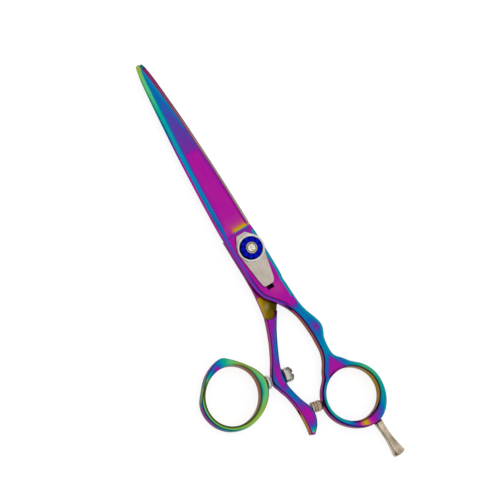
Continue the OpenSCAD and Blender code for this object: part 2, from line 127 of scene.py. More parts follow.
# Blade edges as rows of [x, y] from heel to tip
FRONT_SPINE = [[-7.1, 4], [-7.3, 10], [-6.9, 19.5], [-6.4, 28], [-5.8, 37], [-5.1, 46.5], [-4.2, 56],
               [-3.3, 65.5], [-2.2, 75.5], [-1.1, 81.4], [-0.6, 82.7]]
FRONT_EDGE = [[4.8, 4], [4.8, 10], [4.8, 18], [4.7, 27], [4.5, 36], [4.1, 45], [3.6, 55], [2.9, 65],
              [1.9, 75], [1.1, 81], [0.5, 82.9]]
REAR_TEETH = [[-4.8, 4], [-4.6, 10], [-4.4, 18], [-4.1, 27], [-3.7, 36], [-3.2, 45], [-2.6, 55],
              [-2.0, 65], [-1.3, 75], [0.1, 81], [0.6, 82.4]]
REAR_SPINE = [[5.1, 4], [5.5, 10], [5.5, 18], [5.4, 27], [5.2, 36], [4.9, 46], [4.5, 56], [3.9, 65.5],
              [3.2, 75], [2.4, 80.8], [1.7, 82.6]]
THUMB_RING_POINTS = [[-34.8, -30.2], [-38.2, -31.3], [-41.5, -33.3], [-45, -36.9], [-47.9, -40.6],
                     [-49.0, -44.5], [-48.6, -48.6], [-46.8, -52.6], [-43.2, -56], [-38, -57.8],
                     [-32.3, -57.2], [-27.4, -55], [-23.8, -51.7], [-22, -48.2], [-21.4, -44.8],
                     [-22.6, -40.8], [-24.8, -37.3], [-27, -34.5], [-29.3, -32.1], [-31.9, -30.1]]
GULLETS, GULLET_Y, GULLET_PITCH, GULLET_R = 29, 17.5, 2.15, 0.55
GULLET_DEPTH = (4.6, 1.9)
TIP_H = 1.0


# ---------------------------------------------------------------- curves and distances
def curve(rows, closed=False, steps=6):
    """Catmull-Rom curve through rows of any length."""
    p = np.array(rows, float)
    n = len(p)
    count = n if closed else n - 1
    at = (lambda i: p[i % n]) if closed else (lambda i: p[max(0, min(n - 1, i))])
    out = []
    for i in range(count):
        a, b, c, d = at(i - 1), at(i), at(i + 1), at(i + 2)
        for k in range(steps):
            t = k / steps
            out.append(0.5 * (2 * b + (c - a) * t + (2 * a - 5 * b + 4 * c - d) * t ** 2
                              + (3 * b - a - 3 * c + d) * t ** 3))
    if not closed:
        out.append(p[-1])
    return np.array(out)


def bar_sides(rows):
    """The -X side and the +X side of a bar."""
    c = curve(rows)
    step = np.gradient(c[:, :2], axis=0)
    step /= np.linalg.norm(step, axis=1)[:, None]
    across = np.stack([-step[:, 1], step[:, 0]], 1) * c[:, 2:3] / 2
    return c[:, :2] - across, c[:, :2] + across


def loop(left, right):
    """Closed outline between two sides that run the same way."""
    return np.vstack([left, right[::-1]])


def segment_pass(line, x, y, reach, want_inside):
    """Distance from points sorted by y to a polyline, capped at reach, and whether they are inside it."""
    near = np.full(len(x), reach * reach)
    inside = np.zeros(len(x), bool)
    for (x0, y0), (x1, y1) in zip(line[:-1], line[1:]):
        ex, ey = x1 - x0, y1 - y0
        low, high = min(y0, y1), max(y0, y1)
        a, b = np.searchsorted(y, [low - reach, high + reach])
        px, py = x[a:b] - x0, y[a:b] - y0
        t = np.clip((px * ex + py * ey) / max(ex * ex + ey * ey, 1e-12), 0, 1)
        near[a:b] = np.minimum(near[a:b], (px - t * ex) ** 2 + (py - t * ey) ** 2)
        if want_inside and ey != 0:
            a, b = np.searchsorted(y, [low, high])
            inside[a:b] ^= x[a:b] < x0 + (y[a:b] - y0) * ex / ey
    return np.sqrt(near), inside


def distances(x, y, lines, reach=6.0):
    """For each (polyline, closed) pair: its distance field, negative inside when closed."""
    flat_x, flat_y = np.ravel(x), np.ravel(y)
    order = np.argsort(flat_y, kind="stable")
    xs, ys = flat_x[order], flat_y[order]
    out = []
    for line, closed in lines:
        pts = np.vstack([line, line[:1]]) if closed else line
        d, inside = segment_pass(pts, xs, ys, reach, closed)
        back = np.empty_like(d)
        back[order] = np.where(inside, -d, d)
        out.append(back.reshape(np.shape(x)))
    return out


def smooth_min(a, b, k):
    h = np.maximum(k - np.abs(a - b), 0) / k
    return np.minimum(a, b) - h * h * k / 4


def smooth_max(a, b, k):
    return -smooth_min(-a, -b, k)


def meet(*parts):
    """What signed-distance solids have in common."""
    return reduce(np.maximum, parts)


def cut(solid, *tools):
    """A solid with the tools taken away from it."""
    return reduce(np.maximum, [-tool for tool in tools], solid)


def rounded(d, z, low, high, r):
    """Distance to a plan with signed distance d, extruded from low to high, with edges rounded by r."""
    wx = d + r
    wz = np.abs(z - (low + high) / 2) - (high - low) / 2 + r
    return np.minimum(np.maximum(wx, wz), 0) + np.hypot(np.maximum(wx, 0), np.maximum(wz, 0)) - r


def ramp(x, low, high):
    """Smooth step from 0 at low to 1 at high."""
    t = np.clip((x - low) / (high - low), 0, 1)
    return t * t * (3 - 2 * t)


def fall(x, low, high):
    """Smooth step from 1 at low to 0 at high."""
    return ramp(-x, -high, -low)


def along(value, stops):
    """Piecewise-linear lookup through {position: value} stops in rising order."""
    return np.interp(value, list(stops), list(stops.values()))


# ---------------------------------------------------------------- dual contouring
class Fields:
    """Named values at the same points."""

    def __init__(self, **values):
        self.__dict__.update(values)

    def each(self, change):
        return Fields(**{name: change(v) for name, v in vars(self).items()})


class Body:
    """A solid: plan(x, y) gives its 2D fields, and solid(fields, x, y, z) is negative inside it."""

    def __init__(self, plan, solid):
        self.plan, self.solid = plan, solid

    def at(self, p):
        x, y, z = p.T
        return self.solid(self.plan(x, y), x, y, z)

    def normal(self, p, h=0.004):
        x, y, z = p.T
        fields = self.plan(x, y)
        f0 = self.solid(fields, x, y, z)
        fz = self.solid(fields, x, y, z + h)
        fx = self.at(p + [h, 0, 0])
        fy = self.at(p + [0, h, 0])
        g = np.stack([fx - f0, fy - f0, fz - f0], 1)
        return g / np.maximum(np.linalg.norm(g, axis=1), 1e-9)[:, None]


def contour(body, low, high, cell):
    """Vertices, quads, corner normals of the zero surface, with sharp creases kept (dual contouring)."""
    axes = [np.arange(lo - 1.37 * cell, hi + 2.2 * cell, cell) for lo, hi in zip(low, high)]
    gx, gy = np.meshgrid(axes[0], axes[1], indexing="ij")
    fields = body.plan(gx, gy).each(lambda field: field[:, :, None])
    value = body.solid(fields, gx[:, :, None], gy[:, :, None], axes[2][None, None, :])
    shape = value.shape
    inside = value < 0
    cells_y, cells_z = shape[1], shape[2]

    def cell_id(i, j, k):
        return (i * cells_y + j) * cells_z + k

    points, normals, quads = [], [], []
    for axis in range(3):
        lo_slice = [slice(None)] * 3
        hi_slice = [slice(None)] * 3
        lo_slice[axis], hi_slice[axis] = slice(0, -1), slice(1, None)
        a_in, b_in = inside[tuple(lo_slice)], inside[tuple(hi_slice)]
        idx = np.stack(np.nonzero(a_in != b_in), 1)
        a = np.stack([axes[d][idx[:, d]] for d in range(3)], 1)
        b = a.copy()
        b[:, axis] += cell
        fa = value[tuple(idx.T)]
        nxt = idx.copy()
        nxt[:, axis] += 1
        fb = value[tuple(nxt.T)]
        ta, tb = np.zeros(len(a)), np.ones(len(a))
        for _ in range(4):
            t = ta + (tb - ta) * np.clip(fa / (fa - fb), 0.05, 0.95)
            p = a.copy()
            p[:, axis] += t * cell
            f = body.at(p)
            same = (f < 0) == (fa < 0)
            ta, fa = np.where(same, t, ta), np.where(same, f, fa)
            tb, fb = np.where(same, tb, t), np.where(same, fb, f)
        t = ta + (tb - ta) * fa / (fa - fb)
        p = a.copy()
        p[:, axis] += t * cell
        points.append(p)
        normals.append(body.normal(p))
        u, v = [d for d in range(3) if d != axis]
        ring = []
        for du, dv in ((-1, -1), (0, -1), (0, 0), (-1, 0)):
            c = idx.copy()
            c[:, u] += du
            c[:, v] += dv
            ring.append(cell_id(*c.T))
        ring = np.stack(ring, 1)
        flip = (a_in[tuple(idx.T)]) == (axis == 1)
        ring[flip] = ring[flip][:, ::-1]
        quads.append(ring)
    points, normals, quads = np.vstack(points), np.vstack(normals), np.vstack(quads)

    ids, vert = np.unique(quads.ravel(), return_inverse=True)
    vert = vert.reshape(-1)
    edge = np.repeat(np.arange(len(quads)), 4)
    n_vert = len(ids)
    count = np.bincount(vert, minlength=n_vert)
    mass = np.stack([np.bincount(vert, points[edge, d], n_vert) for d in range(3)], 1) / count[:, None]
    n, rel = normals[edge], points[edge] - mass[vert]
    dist = (n * rel).sum(1)
    ata = np.empty((n_vert, 3, 3))
    atb = np.empty((n_vert, 3))
    for r in range(3):
        atb[:, r] = np.bincount(vert, n[:, r] * dist, n_vert)
        for c in range(3):
            ata[:, r, c] = np.bincount(vert, n[:, r] * n[:, c], n_vert)
    ata += np.eye(3) * VERTEX_PULL
    shift = np.linalg.solve(ata, atb[:, :, None])[:, :, 0]
    where = mass + shift
    base = np.stack([ids // (cells_y * cells_z), ids // cells_z % cells_y, ids % cells_z], 1)
    corner = np.stack([axes[d][base[:, d]] for d in range(3)], 1)
    where = np.clip(where, corner + 0.02 * cell, corner + 0.98 * cell)

    # Corner normals: the cell's own samples, weighted towards those that agree with the face
    order = np.argsort(vert, kind="stable")
    start = np.concatenate([[0], np.cumsum(count)])
    total = np.zeros((len(edge), 3))
    own = normals[edge]
    for k in range(int(count.max())):
        has = count[vert] > k
        other = normals[edge[order[start[vert[has]] + k]]]
        agree = np.exp(np.minimum((own[has] * other).sum(1) - 1, 0) * CREASE)
        total[has] += other * agree[:, None]
    total /= np.linalg.norm(total, axis=1)[:, None]
    return where, vert.reshape(-1, 4), total


def mesh_object(name, body, slot, node, verts, faces, normals=None, material=None, attributes=None):
    """A piece that rides on a CAD body and stands for a CAD node; normals are per face corner, if given."""
    mesh = bpy.data.meshes.new(name)
    mesh.from_pydata((np.asarray(verts) * MM).tolist(), [], [list(map(int, f)) for f in faces])
    mesh.polygons.foreach_set("use_smooth", [True] * len(mesh.polygons))
    if normals is not None:
        mesh.normals_split_custom_set([tuple(n) for n in normals])
    for key, values in (attributes or {}).items():
        layer = mesh.attributes.new(key, "FLOAT", "CORNER")
        layer.data.foreach_set("value", np.asarray(values, np.float32))
    mesh.materials.append(material or MAT[slot])
    mesh.validate()
    obj = bpy.data.objects.new(name, mesh)
    bpy.context.scene.collection.objects.link(obj)
    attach(obj, body)
    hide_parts(node)
    return obj


# ---------------------------------------------------------------- front half
def thickness(y):
    """Height of the front or rear blade above its riding face."""
    return LAP_H + (TIP_H - LAP_H) * np.clip(y, 0, None) / (BLADE_REACH + 1)


SPINE = curve(FRONT_SPINE)
EDGE = curve(FRONT_EDGE)
F_BLADE_LINE = loop(SPINE, EDGE)
F_LAP_L, F_LAP_R = bar_sides(FINGER_LAP)
F_LAP_LINE = loop(F_LAP_L, F_LAP_R)
F_SHANK_LINE = loop(*bar_sides(FINGER_SHANK))
# The bevel along the spine and round the lap: width by y
BEVEL_W = {-30: 1.4, -6: 1.4, 4: 1.7, 12: 2.1, 40: 2.0, 60: 1.9, 80: 1.5}
GRIND_END_Y = 7.9
GRIND_SLOPE = 0.42


def finger_ring_r(a):
    """Outer radius of the finger ring at an angle in degrees; it swells round the finger rest's seat."""
    return 12.4 + 0.2 * np.cos(np.radians(a + 40)) + 1.95 * np.exp(-((a + 74) / 40) ** 2)


def front_plan(x, y):
    lap_l, lap_r, lap, shank, blade = distances(x, y, [
        (F_LAP_L, False), (F_LAP_R, False), (F_LAP_LINE, True), (F_SHANK_LINE, True), (F_BLADE_LINE, True)])
    ring_x, ring_y = x - FINGER_RING[0], y - FINGER_RING[1]
    angle = np.degrees(np.arctan2(ring_y, ring_x))
    angle = np.where(angle > 98, angle - 360, angle)
    hole = np.hypot(ring_x, ring_y)
    return Fields(lap=lap, lap_l=lap_l, lap_r=lap_r, shank=shank, blade=blade,
                  spine=x - np.interp(y, SPINE[:, 1], SPINE[:, 0]),
                  edge=np.interp(y, EDGE[:, 1], EDGE[:, 0]) - x,
                  ring=hole - finger_ring_r(angle), hole=hole, angle=angle, pivot=np.hypot(x, y))


def front_top(f, x, y):
    """Height of the front half's upper surface over the blade and over the lap."""
    w = along(y, BEVEL_W)
    heel = ramp(y, 4, 14)
    drop = 0.6 * (1 - heel) + 0.5 * thickness(y) * heel
    # Blade face: falls gently to the cutting edge, and runs out in a slope up to the lap
    lean = x - along(y, {0: -2.2, 80: -1.0})
    face = FRONT_Z + thickness(y) - 0.115 * (np.maximum(lean, 0) ** 2 / (np.maximum(lean, 0) + 0.8))
    run_out = FRONT_TOP - (y - GRIND_END_Y) * GRIND_SLOPE
    face = smooth_max(face, run_out, 0.10)
    blade = smooth_min(face, FRONT_TOP, 0.12)
    spine = blade - drop * (1 - f.spine / w)
    steep = FRONT_Z + 0.1 * thickness(y) + 2.3 * f.spine
    blade_top = smooth_min(smooth_min(blade, spine, 0.12), steep, 0.06)
    honed = FRONT_Z + 0.35 + 1.1 * f.edge
    steeper = FRONT_Z + 0.62 + 1.75 * (f.edge - 0.25)
    blade_top = np.minimum(blade_top, np.minimum(honed, steeper) + 40 * fall(y, 8.2, 9.5))
    # The lap's flat eases down to the shank; a bevel and a faint second facet follow its left side
    flat = FRONT_TOP - 1.3 * fall(y, -34, -21)
    lap_edge = flat - drop * (1 - f.lap_l / w)
    second = flat - 0.06 + 0.115 * (f.lap_l - w) + 3 * ramp(y, -8, 2)
    right = flat - 0.75 * (1 - f.lap_r / 1.4)
    lap_top = smooth_min(smooth_min(smooth_min(flat, second, 0.05), lap_edge, 0.10), right, 0.10)
    return blade_top, lap_top


def hole_flare(z, depth, width):
    """How much wider a ring's hole is at height z, because its rims are rounded."""
    t = np.clip((np.abs(z - AXIS_Z) - (AXIS_Z - depth)) / depth, 0, 1)
    return width * (1 - np.sqrt(1 - 0.999 * t ** 2))


def front_solid(f, x, y, z):
    blade_top, lap_top = front_top(f, x, y)
    # The blade reaches into the lap, so its heel stays under the lap's bevels
    blade = meet(f.blade, FRONT_Z - z, (z - blade_top) * 0.85, 8.0 - y)
    lap = meet(f.lap, FRONT_Z - z, (z - lap_top) * 0.8)
    shank = meet(rounded(f.shank, z, SHANK_Z, SHANK_TOP, SHANK_ROUND), FINGER_STEP_R - f.pivot)
    ring = rounded(f.ring, z, 0, RING_H, RING_ROUND)
    bulk = smooth_min(smooth_min(lap, shank, 0.5), ring, 1.1)
    bulk = meet(np.minimum(bulk, blade), REST_AT[1] - y)
    # Keyed bolt hole, room for the dial's neck, the spring's slot and the rest's threaded hole
    bolt = meet(f.pivot - 2.05, x - 1.75)
    neck = meet(f.pivot - NECK_BORE_R, NECK_Z - 0.1 - z)
    (x0, y0), (x1, y1) = SPRING_SLOT
    slot = meet(x0 - x, x - x1, y0 - y, y - y1, FRONT_TOP - 1.5 - z)
    rest_x = x - REST_AT[0] + (y - REST_AT[1]) * math.sin(REST_LEAN)
    stud = meet(np.hypot(rest_x, z - AXIS_Z) - 1.15, y - REST_AT[1] - 7)
    return cut(bulk, f.hole - (FINGER_HOLE_R + hole_flare(z, 0.9, 0.6)), bolt, neck, slot, stud)


# ---------------------------------------------------------------- rear half
TEETH = curve(REAR_TEETH)
REAR_BACK = curve(REAR_SPINE)
T_BLADE_LINE = loop(TEETH, REAR_BACK)
T_LAP_LINE = loop(*bar_sides(THUMB_LAP))
T_SHANK_LINE = loop(*bar_sides(THUMB_SHANK))


def gullet_distance(x, y):
    """Distance to the slots between the thinning teeth; each slot has a round bottom."""
    i = np.clip(np.round((y - GULLET_Y) / GULLET_PITCH), 0, GULLETS - 1)
    yc = GULLET_Y + i * GULLET_PITCH
    depth = GULLET_DEPTH[0] + (GULLET_DEPTH[1] - GULLET_DEPTH[0]) * i / (GULLETS - 1)
    end = np.interp(yc, TEETH[:, 1], TEETH[:, 0]) + depth
    return np.hypot(np.maximum(x - end, 0), y - yc) - GULLET_R


def capsule_distance(ends, x, y):
    """Distance to a straight segment between two points."""
    (x0, y0), (x1, y1) = ends
    ex, ey = x1 - x0, y1 - y0
    t = np.clip(((x - x0) * ex + (y - y0) * ey) / (ex * ex + ey * ey), 0, 1)
    return np.hypot(x - x0 - t * ex, y - y0 - t * ey)


def rear_plan(x, y):
    lap, shank, blade = distances(x, y, [(T_LAP_LINE, True), (T_SHANK_LINE, True), (T_BLADE_LINE, True)])
    return Fields(lap=lap, shank=shank, blade=blade, gullet=gullet_distance(x, y),
                  teeth=x - np.interp(y, TEETH[:, 1], TEETH[:, 0]),
                  back=np.interp(y, REAR_BACK[:, 1], REAR_BACK[:, 0]) - x,
                  pocket=capsule_distance(POCKET, x, y), pivot=np.hypot(x, y))


def along_axis(x, y, z, origin, angle):
    """(distance along, distance from) a level axis through origin at AXIS_Z."""
    dx, dy = x - origin[0], y - origin[1]
    s = dx * math.cos(angle) + dy * math.sin(angle)
    t = -dx * math.sin(angle) + dy * math.cos(angle)
    return s, np.hypot(t, z - AXIS_Z)


def rear_solid(f, x, y, z):
    # Blade: flat riding face on top, bevels underneath along the back and the teeth
    under = REAR_TOP - thickness(y)
    under = smooth_max(under, under + 0.45 * thickness(y) * (1 - f.back / 1.7), 0.1)
    under = smooth_max(under, REAR_TOP - 0.45 - 0.34 * np.maximum(f.teeth, 0), 0.1)
    blade = meet(f.blade, z - REAR_TOP, (under - z) * 0.85, -f.gullet, 6.6 - y)
    lap_under = REAR_Z + 0.8 * np.clip(1 + f.lap, 0, 1)
    lap = meet(f.lap, z - REAR_TOP, (lap_under - z) * 0.8)
    # The full-height shank starts beyond a round-ended pocket, which stays at lap height
    shank = meet(rounded(f.shank, z, SHANK_Z, SHANK_TOP, SHANK_ROUND), y + POCKET_Y, POCKET_R - f.pocket)
    bulk = np.minimum(smooth_min(lap, shank, 0.35), blade)
    # Pivot: the sleeve's bore and the slip washer's recess
    bulk = cut(bulk, f.pivot - 2.9, meet(f.pivot - 5.1, REAR_TOP - 0.35 - z))
    # Swivel boss: a through bore, and flat seats for the screw's head and the ring's spacer
    s, r = along_axis(x, y, z, SWIVEL_AT, SWIVEL_ANGLE)
    bore = np.where(np.abs(s) < 6, r, 9) - 1.55
    bulk = cut(bulk, bore, meet(r - 3.1, 2.4 - s, s - 8), meet(r - 3.1, s + 2.85, -s - 8))
    # Tail: the bumper's seat, its stud's thread and the wider hole that shows behind it
    s, r = along_axis(x, y, z, FINGER_RING, BUMPER_ANGLE)
    s = s - BUMPER_BASE_R
    return cut(bulk, meet(r - 2.4, -5 - s, s), meet(r - 1.1, -1 - s, s - 8), meet(r - 1.25, 3.4 - s, s - 8))


# ---------------------------------------------------------------- thumb ring
THUMB_LINE = curve(THUMB_RING_POINTS, closed=True)


def oval(a, b, turn, n=96):
    """Outline of the thumb hole from its half axes and its turn in degrees."""
    t = np.linspace(0, 2 * math.pi, n, endpoint=False)
    c, s = math.cos(math.radians(turn)), math.sin(math.radians(turn))
    p, q = a * np.cos(t), b * np.sin(t)
    return np.stack([THUMB_RING[0] + p * c - q * s, THUMB_RING[1] + p * s + q * c], 1)


def thumb_ring_plan(x, y):
    outer, hole = distances(x, y, [(THUMB_LINE, True), (oval(*THUMB_HOLE), True)])
    return Fields(outer=outer, hole=hole, angle=np.degrees(np.arctan2(y - THUMB_RING[1], x - THUMB_RING[0])))


def thumb_ring_solid(f, x, y, z):
    ring = rounded(f.outer, z, 0, RING_H, RING_ROUND)
    # A flat seat for the spacer, and the swivel screw's hole
    s, r = along_axis(x, y, z, SWIVEL_AT, SWIVEL_ANGLE)
    return cut(ring, f.hole - hole_flare(z, 0.8, 0.5), meet(r - 6, -4.6 - s), meet(r - 1.1, -7.6 - s))


# ---------------------------------------------------------------- colour of the heat-tinted coat, and painted shade
# Each value is a place on the coat's ramp: 0 gold, .12 orange, .25 rose, .36 magenta, .48 violet,
# .58 blue, .66 azure, .72 teal, .84 green, .90 lime, 1 yellow. The first number of a pair is y in mm,
# or on the rings the angle in degrees.
FRONT_FACE = {7.9: .0, 9.2: .0, 9.7: .10, 10.5: .24, 12: .315, 15: .345, 20: .355,
              42.5: .36, 44.5: .46, 52: .485, 60: .525, 64: .56, 72: .60, 78: .66, 82: .72}
FACE_LEFT = {10: .42, 30: .45, 40: .53, 54: .545, 58: .58, 83: .64}
FACE_RIGHT = {20: .37, 34: .44, 42: .46, 45: .53, 52: .54, 54: .60, 83: .68}
FRONT_BEVEL = {-30: .525, -14: .52, 2: .52, 8: .55, 14: .60, 20: .635, 32: .655, 40: .675,
               48: .71, 56: .735, 64: .775, 72: .84, 78: .86, 83: .97}
STEEP_EDGE = {5: .30, 20: .33, 38: .36, 48: .46, 56: .60, 64: .72, 72: .83, 80: .93,
              83: .95}
FRONT_SHANK = {-58: .56, -52: .60, -48: .665, -45: .655, -42: .60, -40: .585, -36: .585,
               -33: .63, -30: .61, -28.5: .56, -27: .48, -25: .38}
FRONT_WALL = {-60: .16, -52: .15, -42: .12, -34: .12, -28: .24, -22: .36, -10: .41, 4: .41,
              10: .34, 30: .34, 42: .38, 50: .50, 58: .62, 68: .74, 76: .86, 83: .92}
FINGER_RING_FILM = {-256: .60, -244: .64, -220: .71, -199: .74, -182: .79, -165: .79,
                    -152: .74, -132: .69, -122: .60, -114: .46, -108: .32, -104: .10, -99: .0,
                    -94: .04, -90: .28, -86: .36, -79: .41, -70: .47, -60: .53, -52: .60,
                    -38: .69, -20: .75, 10: .81, 38: .82, 50: .77, 62: .70, 75: .62, 98: .58}
REAR_FACE = {-73.5: .88, -72: .80, -70.5: .56, -69: .44, -67: .36, -64: .365, -62: .45,
             -60: .53, -58: .57, -56: .60, -54: .58, -52: .46, -50: .37, -47: .355, -45: .38,
             -43: .44, -42: .475, -40: .51, -38: .54, -35: .50, -32: .44, -30: .41, -28: .43}
REAR_LEFT = {-72: .30, -62: .32, -58: .42, -53: .45, -51: .56, -44: .56, -41: .43, -30: .37}
REAR_WALL = {-74: .20, -70: .0, -66: .0, -63: .20, -60: .34, -52: .37, -49: .5, -45: .30,
             -36: .20, -28: .27, -20: .30, 0: .31, 80: .31}
THUMB_RING_FILM = {-180: .89, -159: .90, -130: .90, -110: .92, -68: .92, -47: .88, -24: .82,
                   -5: .82, 12: .85, 30: .90, 48: .92, 60: .85, 70: .79, 77: .74, 84: .66,
                   92: .60, 100: .63, 108: .74, 118: .86, 132: .93, 150: .93, 165: .90,
                   180: .89}
RING_RIM_SHIFT = {-180: -.34, -158: -.30, -146: -.18, -115: -.13, -95: -.04, -40: .06, 0: .10,
                  40: .03, 75: .0, 95: -.06, 110: -.14, 140: -.02, 158: -.15, 172: -.34,
                  180: -.34}
RING_WALL = {-180: .34, -158: .33, -145: .52, -120: .66, -80: .74, 0: .86, 60: .80, 85: .55,
             100: .32, 118: .22, 140: .95, 156: .95, 168: .33, 180: .34}
# Middle of the two shanks: x by y
FRONT_MIDDLE = {-51.5: 4.2, -48: 4.6, -43.5: 5.1, -39.3: 6.0, -36: 5.6, -31.5: 4.5,
                -27.5: 3.45}
REAR_RIDGE = {-74: -16.2, -67: -14.4, -60: -15.0, -54: -16.6, -49: -17.2, -45: -15.9,
              -41: -13.9, -36: -11.4, -30: -8.5}
# Painted shade across the pocket, by distance to the right of its middle
POCKET_SHADE = {-4.8: .8, -3.7: .6, -3.2: .46, -2.6: .36, -2.0: .30, -1.2: .20, -0.4: .12}


def blob(x, y, cx, cy, r):
    """Soft spot, 1 at its centre."""
    return np.exp(-((x - cx) ** 2 + (y - cy) ** 2) / (r * r))


def mix(a, b, t):
    return a + (b - a) * t


def corner_data(plan, verts, quads):
    """The plan's fields and the place at every face corner."""
    v = quads.ravel()
    return plan(verts[:, 0], verts[:, 1]).each(lambda field: field[v]), *verts[v].T


def facing(n):
    """By its normal, how far each corner looks up, sideways, in between, to the left and to the right."""
    up = ramp(n[:, 2], 0.90, 0.975)
    wall = ramp(-np.abs(n[:, 2]), -0.55, -0.2)
    return up, wall, np.clip(1 - up - wall, 0, 1), ramp(-n[:, 0], 0.0, 0.35), ramp(n[:, 0], 0.0, 0.35)


def front_coat(verts, quads, n):
    f, x, y, z = corner_data(front_plan, verts, quads)
    up, wall, bevel, left, right = facing(n)
    # Blade face: colour runs along the blade, with bluer borders
    film = along(y, FRONT_FACE)
    film = mix(film, along(y, FACE_RIGHT), fall(f.edge, 0.8, 2.3) * ramp(y, 16, 24))
    inset = f.spine - along(y, BEVEL_W)
    on_bevel = fall(inset, -0.12, 0.1) * ramp(y, 8.0, 9.5)
    film = mix(film, along(y, FACE_LEFT), fall(inset, 0.5, 0.9) * ramp(y, 9, 14))
    # Run-out of the grind: gold and orange at the lap, fading towards the bevel, then a thin blue line
    fade = fall(x, -3.6, -1.6) * fall(y, 9, 14)
    film = mix(film, 0.33, fade)
    film = mix(film, mix(0.72, 0.5, fade), fall(y, GRIND_END_Y + 0.22, GRIND_END_Y + 0.34))
    # Lap: magenta, more violet at its top and right, rosier below the spring and at its corner
    lap = fall(y, GRIND_END_Y - 0.04, GRIND_END_Y + 0.02)
    lap_film = 0.36 + 0.09 * blob(x, y, 3.6, 7.2, 3.2) + 0.05 * ramp(y, 6.6, 7.6)
    lap_film = lap_film + 0.03 * blob(x, y, 3.5, -8, 3)
    lap_film = lap_film - 0.05 * blob(x, y, 0.6, -18, 2.6) - 0.02 * blob(x, y, 4.2, 6.2, 1.0)
    lap_film = lap_film - 0.20 * blob(x, y, 4.3, 6.3, 0.8)
    film = mix(film, lap_film, lap)
    # Finger shank: blue to violet and back, and a magenta triangle on the ring's root
    shank = fall(y, -28.5, -25.5)
    apex = ramp((-50.6 - y) * 0.60 - np.abs(x - 4.6 - 0.1 * (y + 50.6)), -0.55, 0.85) * ramp(y, -58.4, -57.2)
    right_band = ramp(f.shank, -1.6, -0.6) * ramp(x - along(y, FRONT_MIDDLE), 0.2, 1.0)
    shank_film = along(y, FRONT_SHANK) - 0.12 * blob(x, y, 6.4, -38.5, 1.6) - 0.02 * ramp(x, 3, 6)
    film = mix(film, mix(shank_film, 0.71, right_band * ramp(y, -54, -50)), shank)
    ring = fall(y, -57.5, -54.5) * fall(np.abs(f.hole - 12.4), 3.0, 3.6)
    rim = ramp(f.ring, -1.8, -0.5)
    ring_film = along(f.angle, FINGER_RING_FILM) - 0.03 * rim
    ring_film = ring_film + 0.14 * rim * ramp(f.angle, -84, -70) * fall(f.angle, -50, -35)
    film = mix(film, ring_film, ring)
    film = mix(film, 0.38, apex * np.clip(1 - wall, 0, 1))
    # Bevels and rounded edges
    spine_edge = fall(f.spine, 0.5, 0.62) * ramp(y, 8.4, 9.4)
    bevel_film = mix(along(y, FRONT_BEVEL), 0.53, fall(y, -29, -26))
    lap_bevel = fall(f.lap_l, along(y, {-8: 0.9, 2: 1.1}), along(y, {-8: 1.3, 2: 1.6}))
    lap_bevel = lap_bevel * fall(y, 7.8, 8.2) * ramp(y, -27, -24) * (1 - wall)
    on_bevel = np.maximum(on_bevel, lap_bevel)
    bevel_film = bevel_film - 0.11 * fall(f.lap_l, 0.2, 0.6) * lap_bevel
    by_normal = bevel * left * (1 - lap * ramp(y, -27, -24))
    film = mix(film, mix(bevel_film, along(y, STEEP_EDGE), spine_edge), np.maximum(by_normal, on_bevel))
    right_film = mix(0.70, 0.37, ramp(y, 5.6, 6.4))
    right_film = mix(right_film, 0.70, fall(y, -33, -28))
    film = mix(film, right_film, bevel * right * (1 - ring))
    inner = fall(f.hole, FINGER_HOLE_R + 0.3, FINGER_HOLE_R + 0.9) * ring
    film = mix(film, 0.22, inner * bevel * ramp(-n[:, 0], -0.2, 0.2))
    # Walls
    wall_film = along(y, FRONT_WALL)
    wall_film = mix(wall_film, 0.70, right * fall(y, 7, 9) * (1 - ring))
    wall_film = mix(wall_film, mix(0.70, 0.27, fall(x, 2, 8)), ring)
    wall_film = mix(wall_film, along(x, {-5: .68, 3: .30, 8: .08, 14: .02}), inner)
    film = mix(film, wall_film, wall)
    # Painted shade: darker walls and bevels, and dark lines of painted shade along the ring's inner rim and
    # the lap's bevel
    shade = 1 - 0.18 * wall * left
    shade = shade - 0.25 * bevel * right * ramp(y, 8.6, 9.2)
    shade = shade - 0.45 * bevel * left * fall(y, -27, -24)
    lip = fall(f.hole, FINGER_HOLE_R + 0.7, FINGER_HOLE_R + 1.05) * ramp(z, RING_H - 0.8, RING_H - 0.4)
    lip = lip * ring * np.maximum(ramp(f.angle, -130, -115), fall(f.angle, -250, -240))
    shade = shade - 0.70 * lip * mix(1, 0.6, ramp(f.angle, -55, -45))
    shade = shade - 0.65 * fall(np.abs(f.lap_l - 1.15), 0.1, 0.5) * fall(y, -12, -5) * ramp(y, -28, -24)
    # Painted shadow: a dark line beside the leaf spring, and painted shade that darkens the unlit slot that
    # its tail hooks into
    leaf_shadow_line = fall(leaf_plan(x, y).plate, 0.12, 0.42) * fall(x, -2, 0) * up
    shade = shade * (1 - 0.6 * leaf_shadow_line)
    (x0, y0), (x1, y1) = SPRING_SLOT
    slot = fall(meet(x0 - x, x - x1, y0 - y, y - y1), -0.02, 0.12)
    slot = slot * fall(z, FRONT_TOP - 0.25, FRONT_TOP - 0.06) * ramp(z, FRONT_Z, FRONT_Z + 0.5)
    shade = shade * (1 - 0.97 * slot)
    # Painted shade on the steep spine edge towards the tip
    shade = shade - 0.30 * spine_edge * ramp(y, 44, 60) * fall(y, 74, 80)
    # Bare ground steel: the riding face and the honed edge
    honed = ramp(y, 8.4, 9.4) * fall(f.edge, 0.26, 0.34) * fall(z, FRONT_Z + 0.7, FRONT_Z + 0.9)
    face = ramp(-n[:, 2], 0.9, 0.98) * fall(z, FRONT_Z + 0.1, FRONT_Z + 0.2)
    face = face * ramp(z, FRONT_Z - 0.2, FRONT_Z - 0.1)
    coat = 1 - np.maximum(0.85 * honed, 0.9 * face)
    return {"film": film, "shade": np.clip(shade, 0.02, 1), "coat": coat}


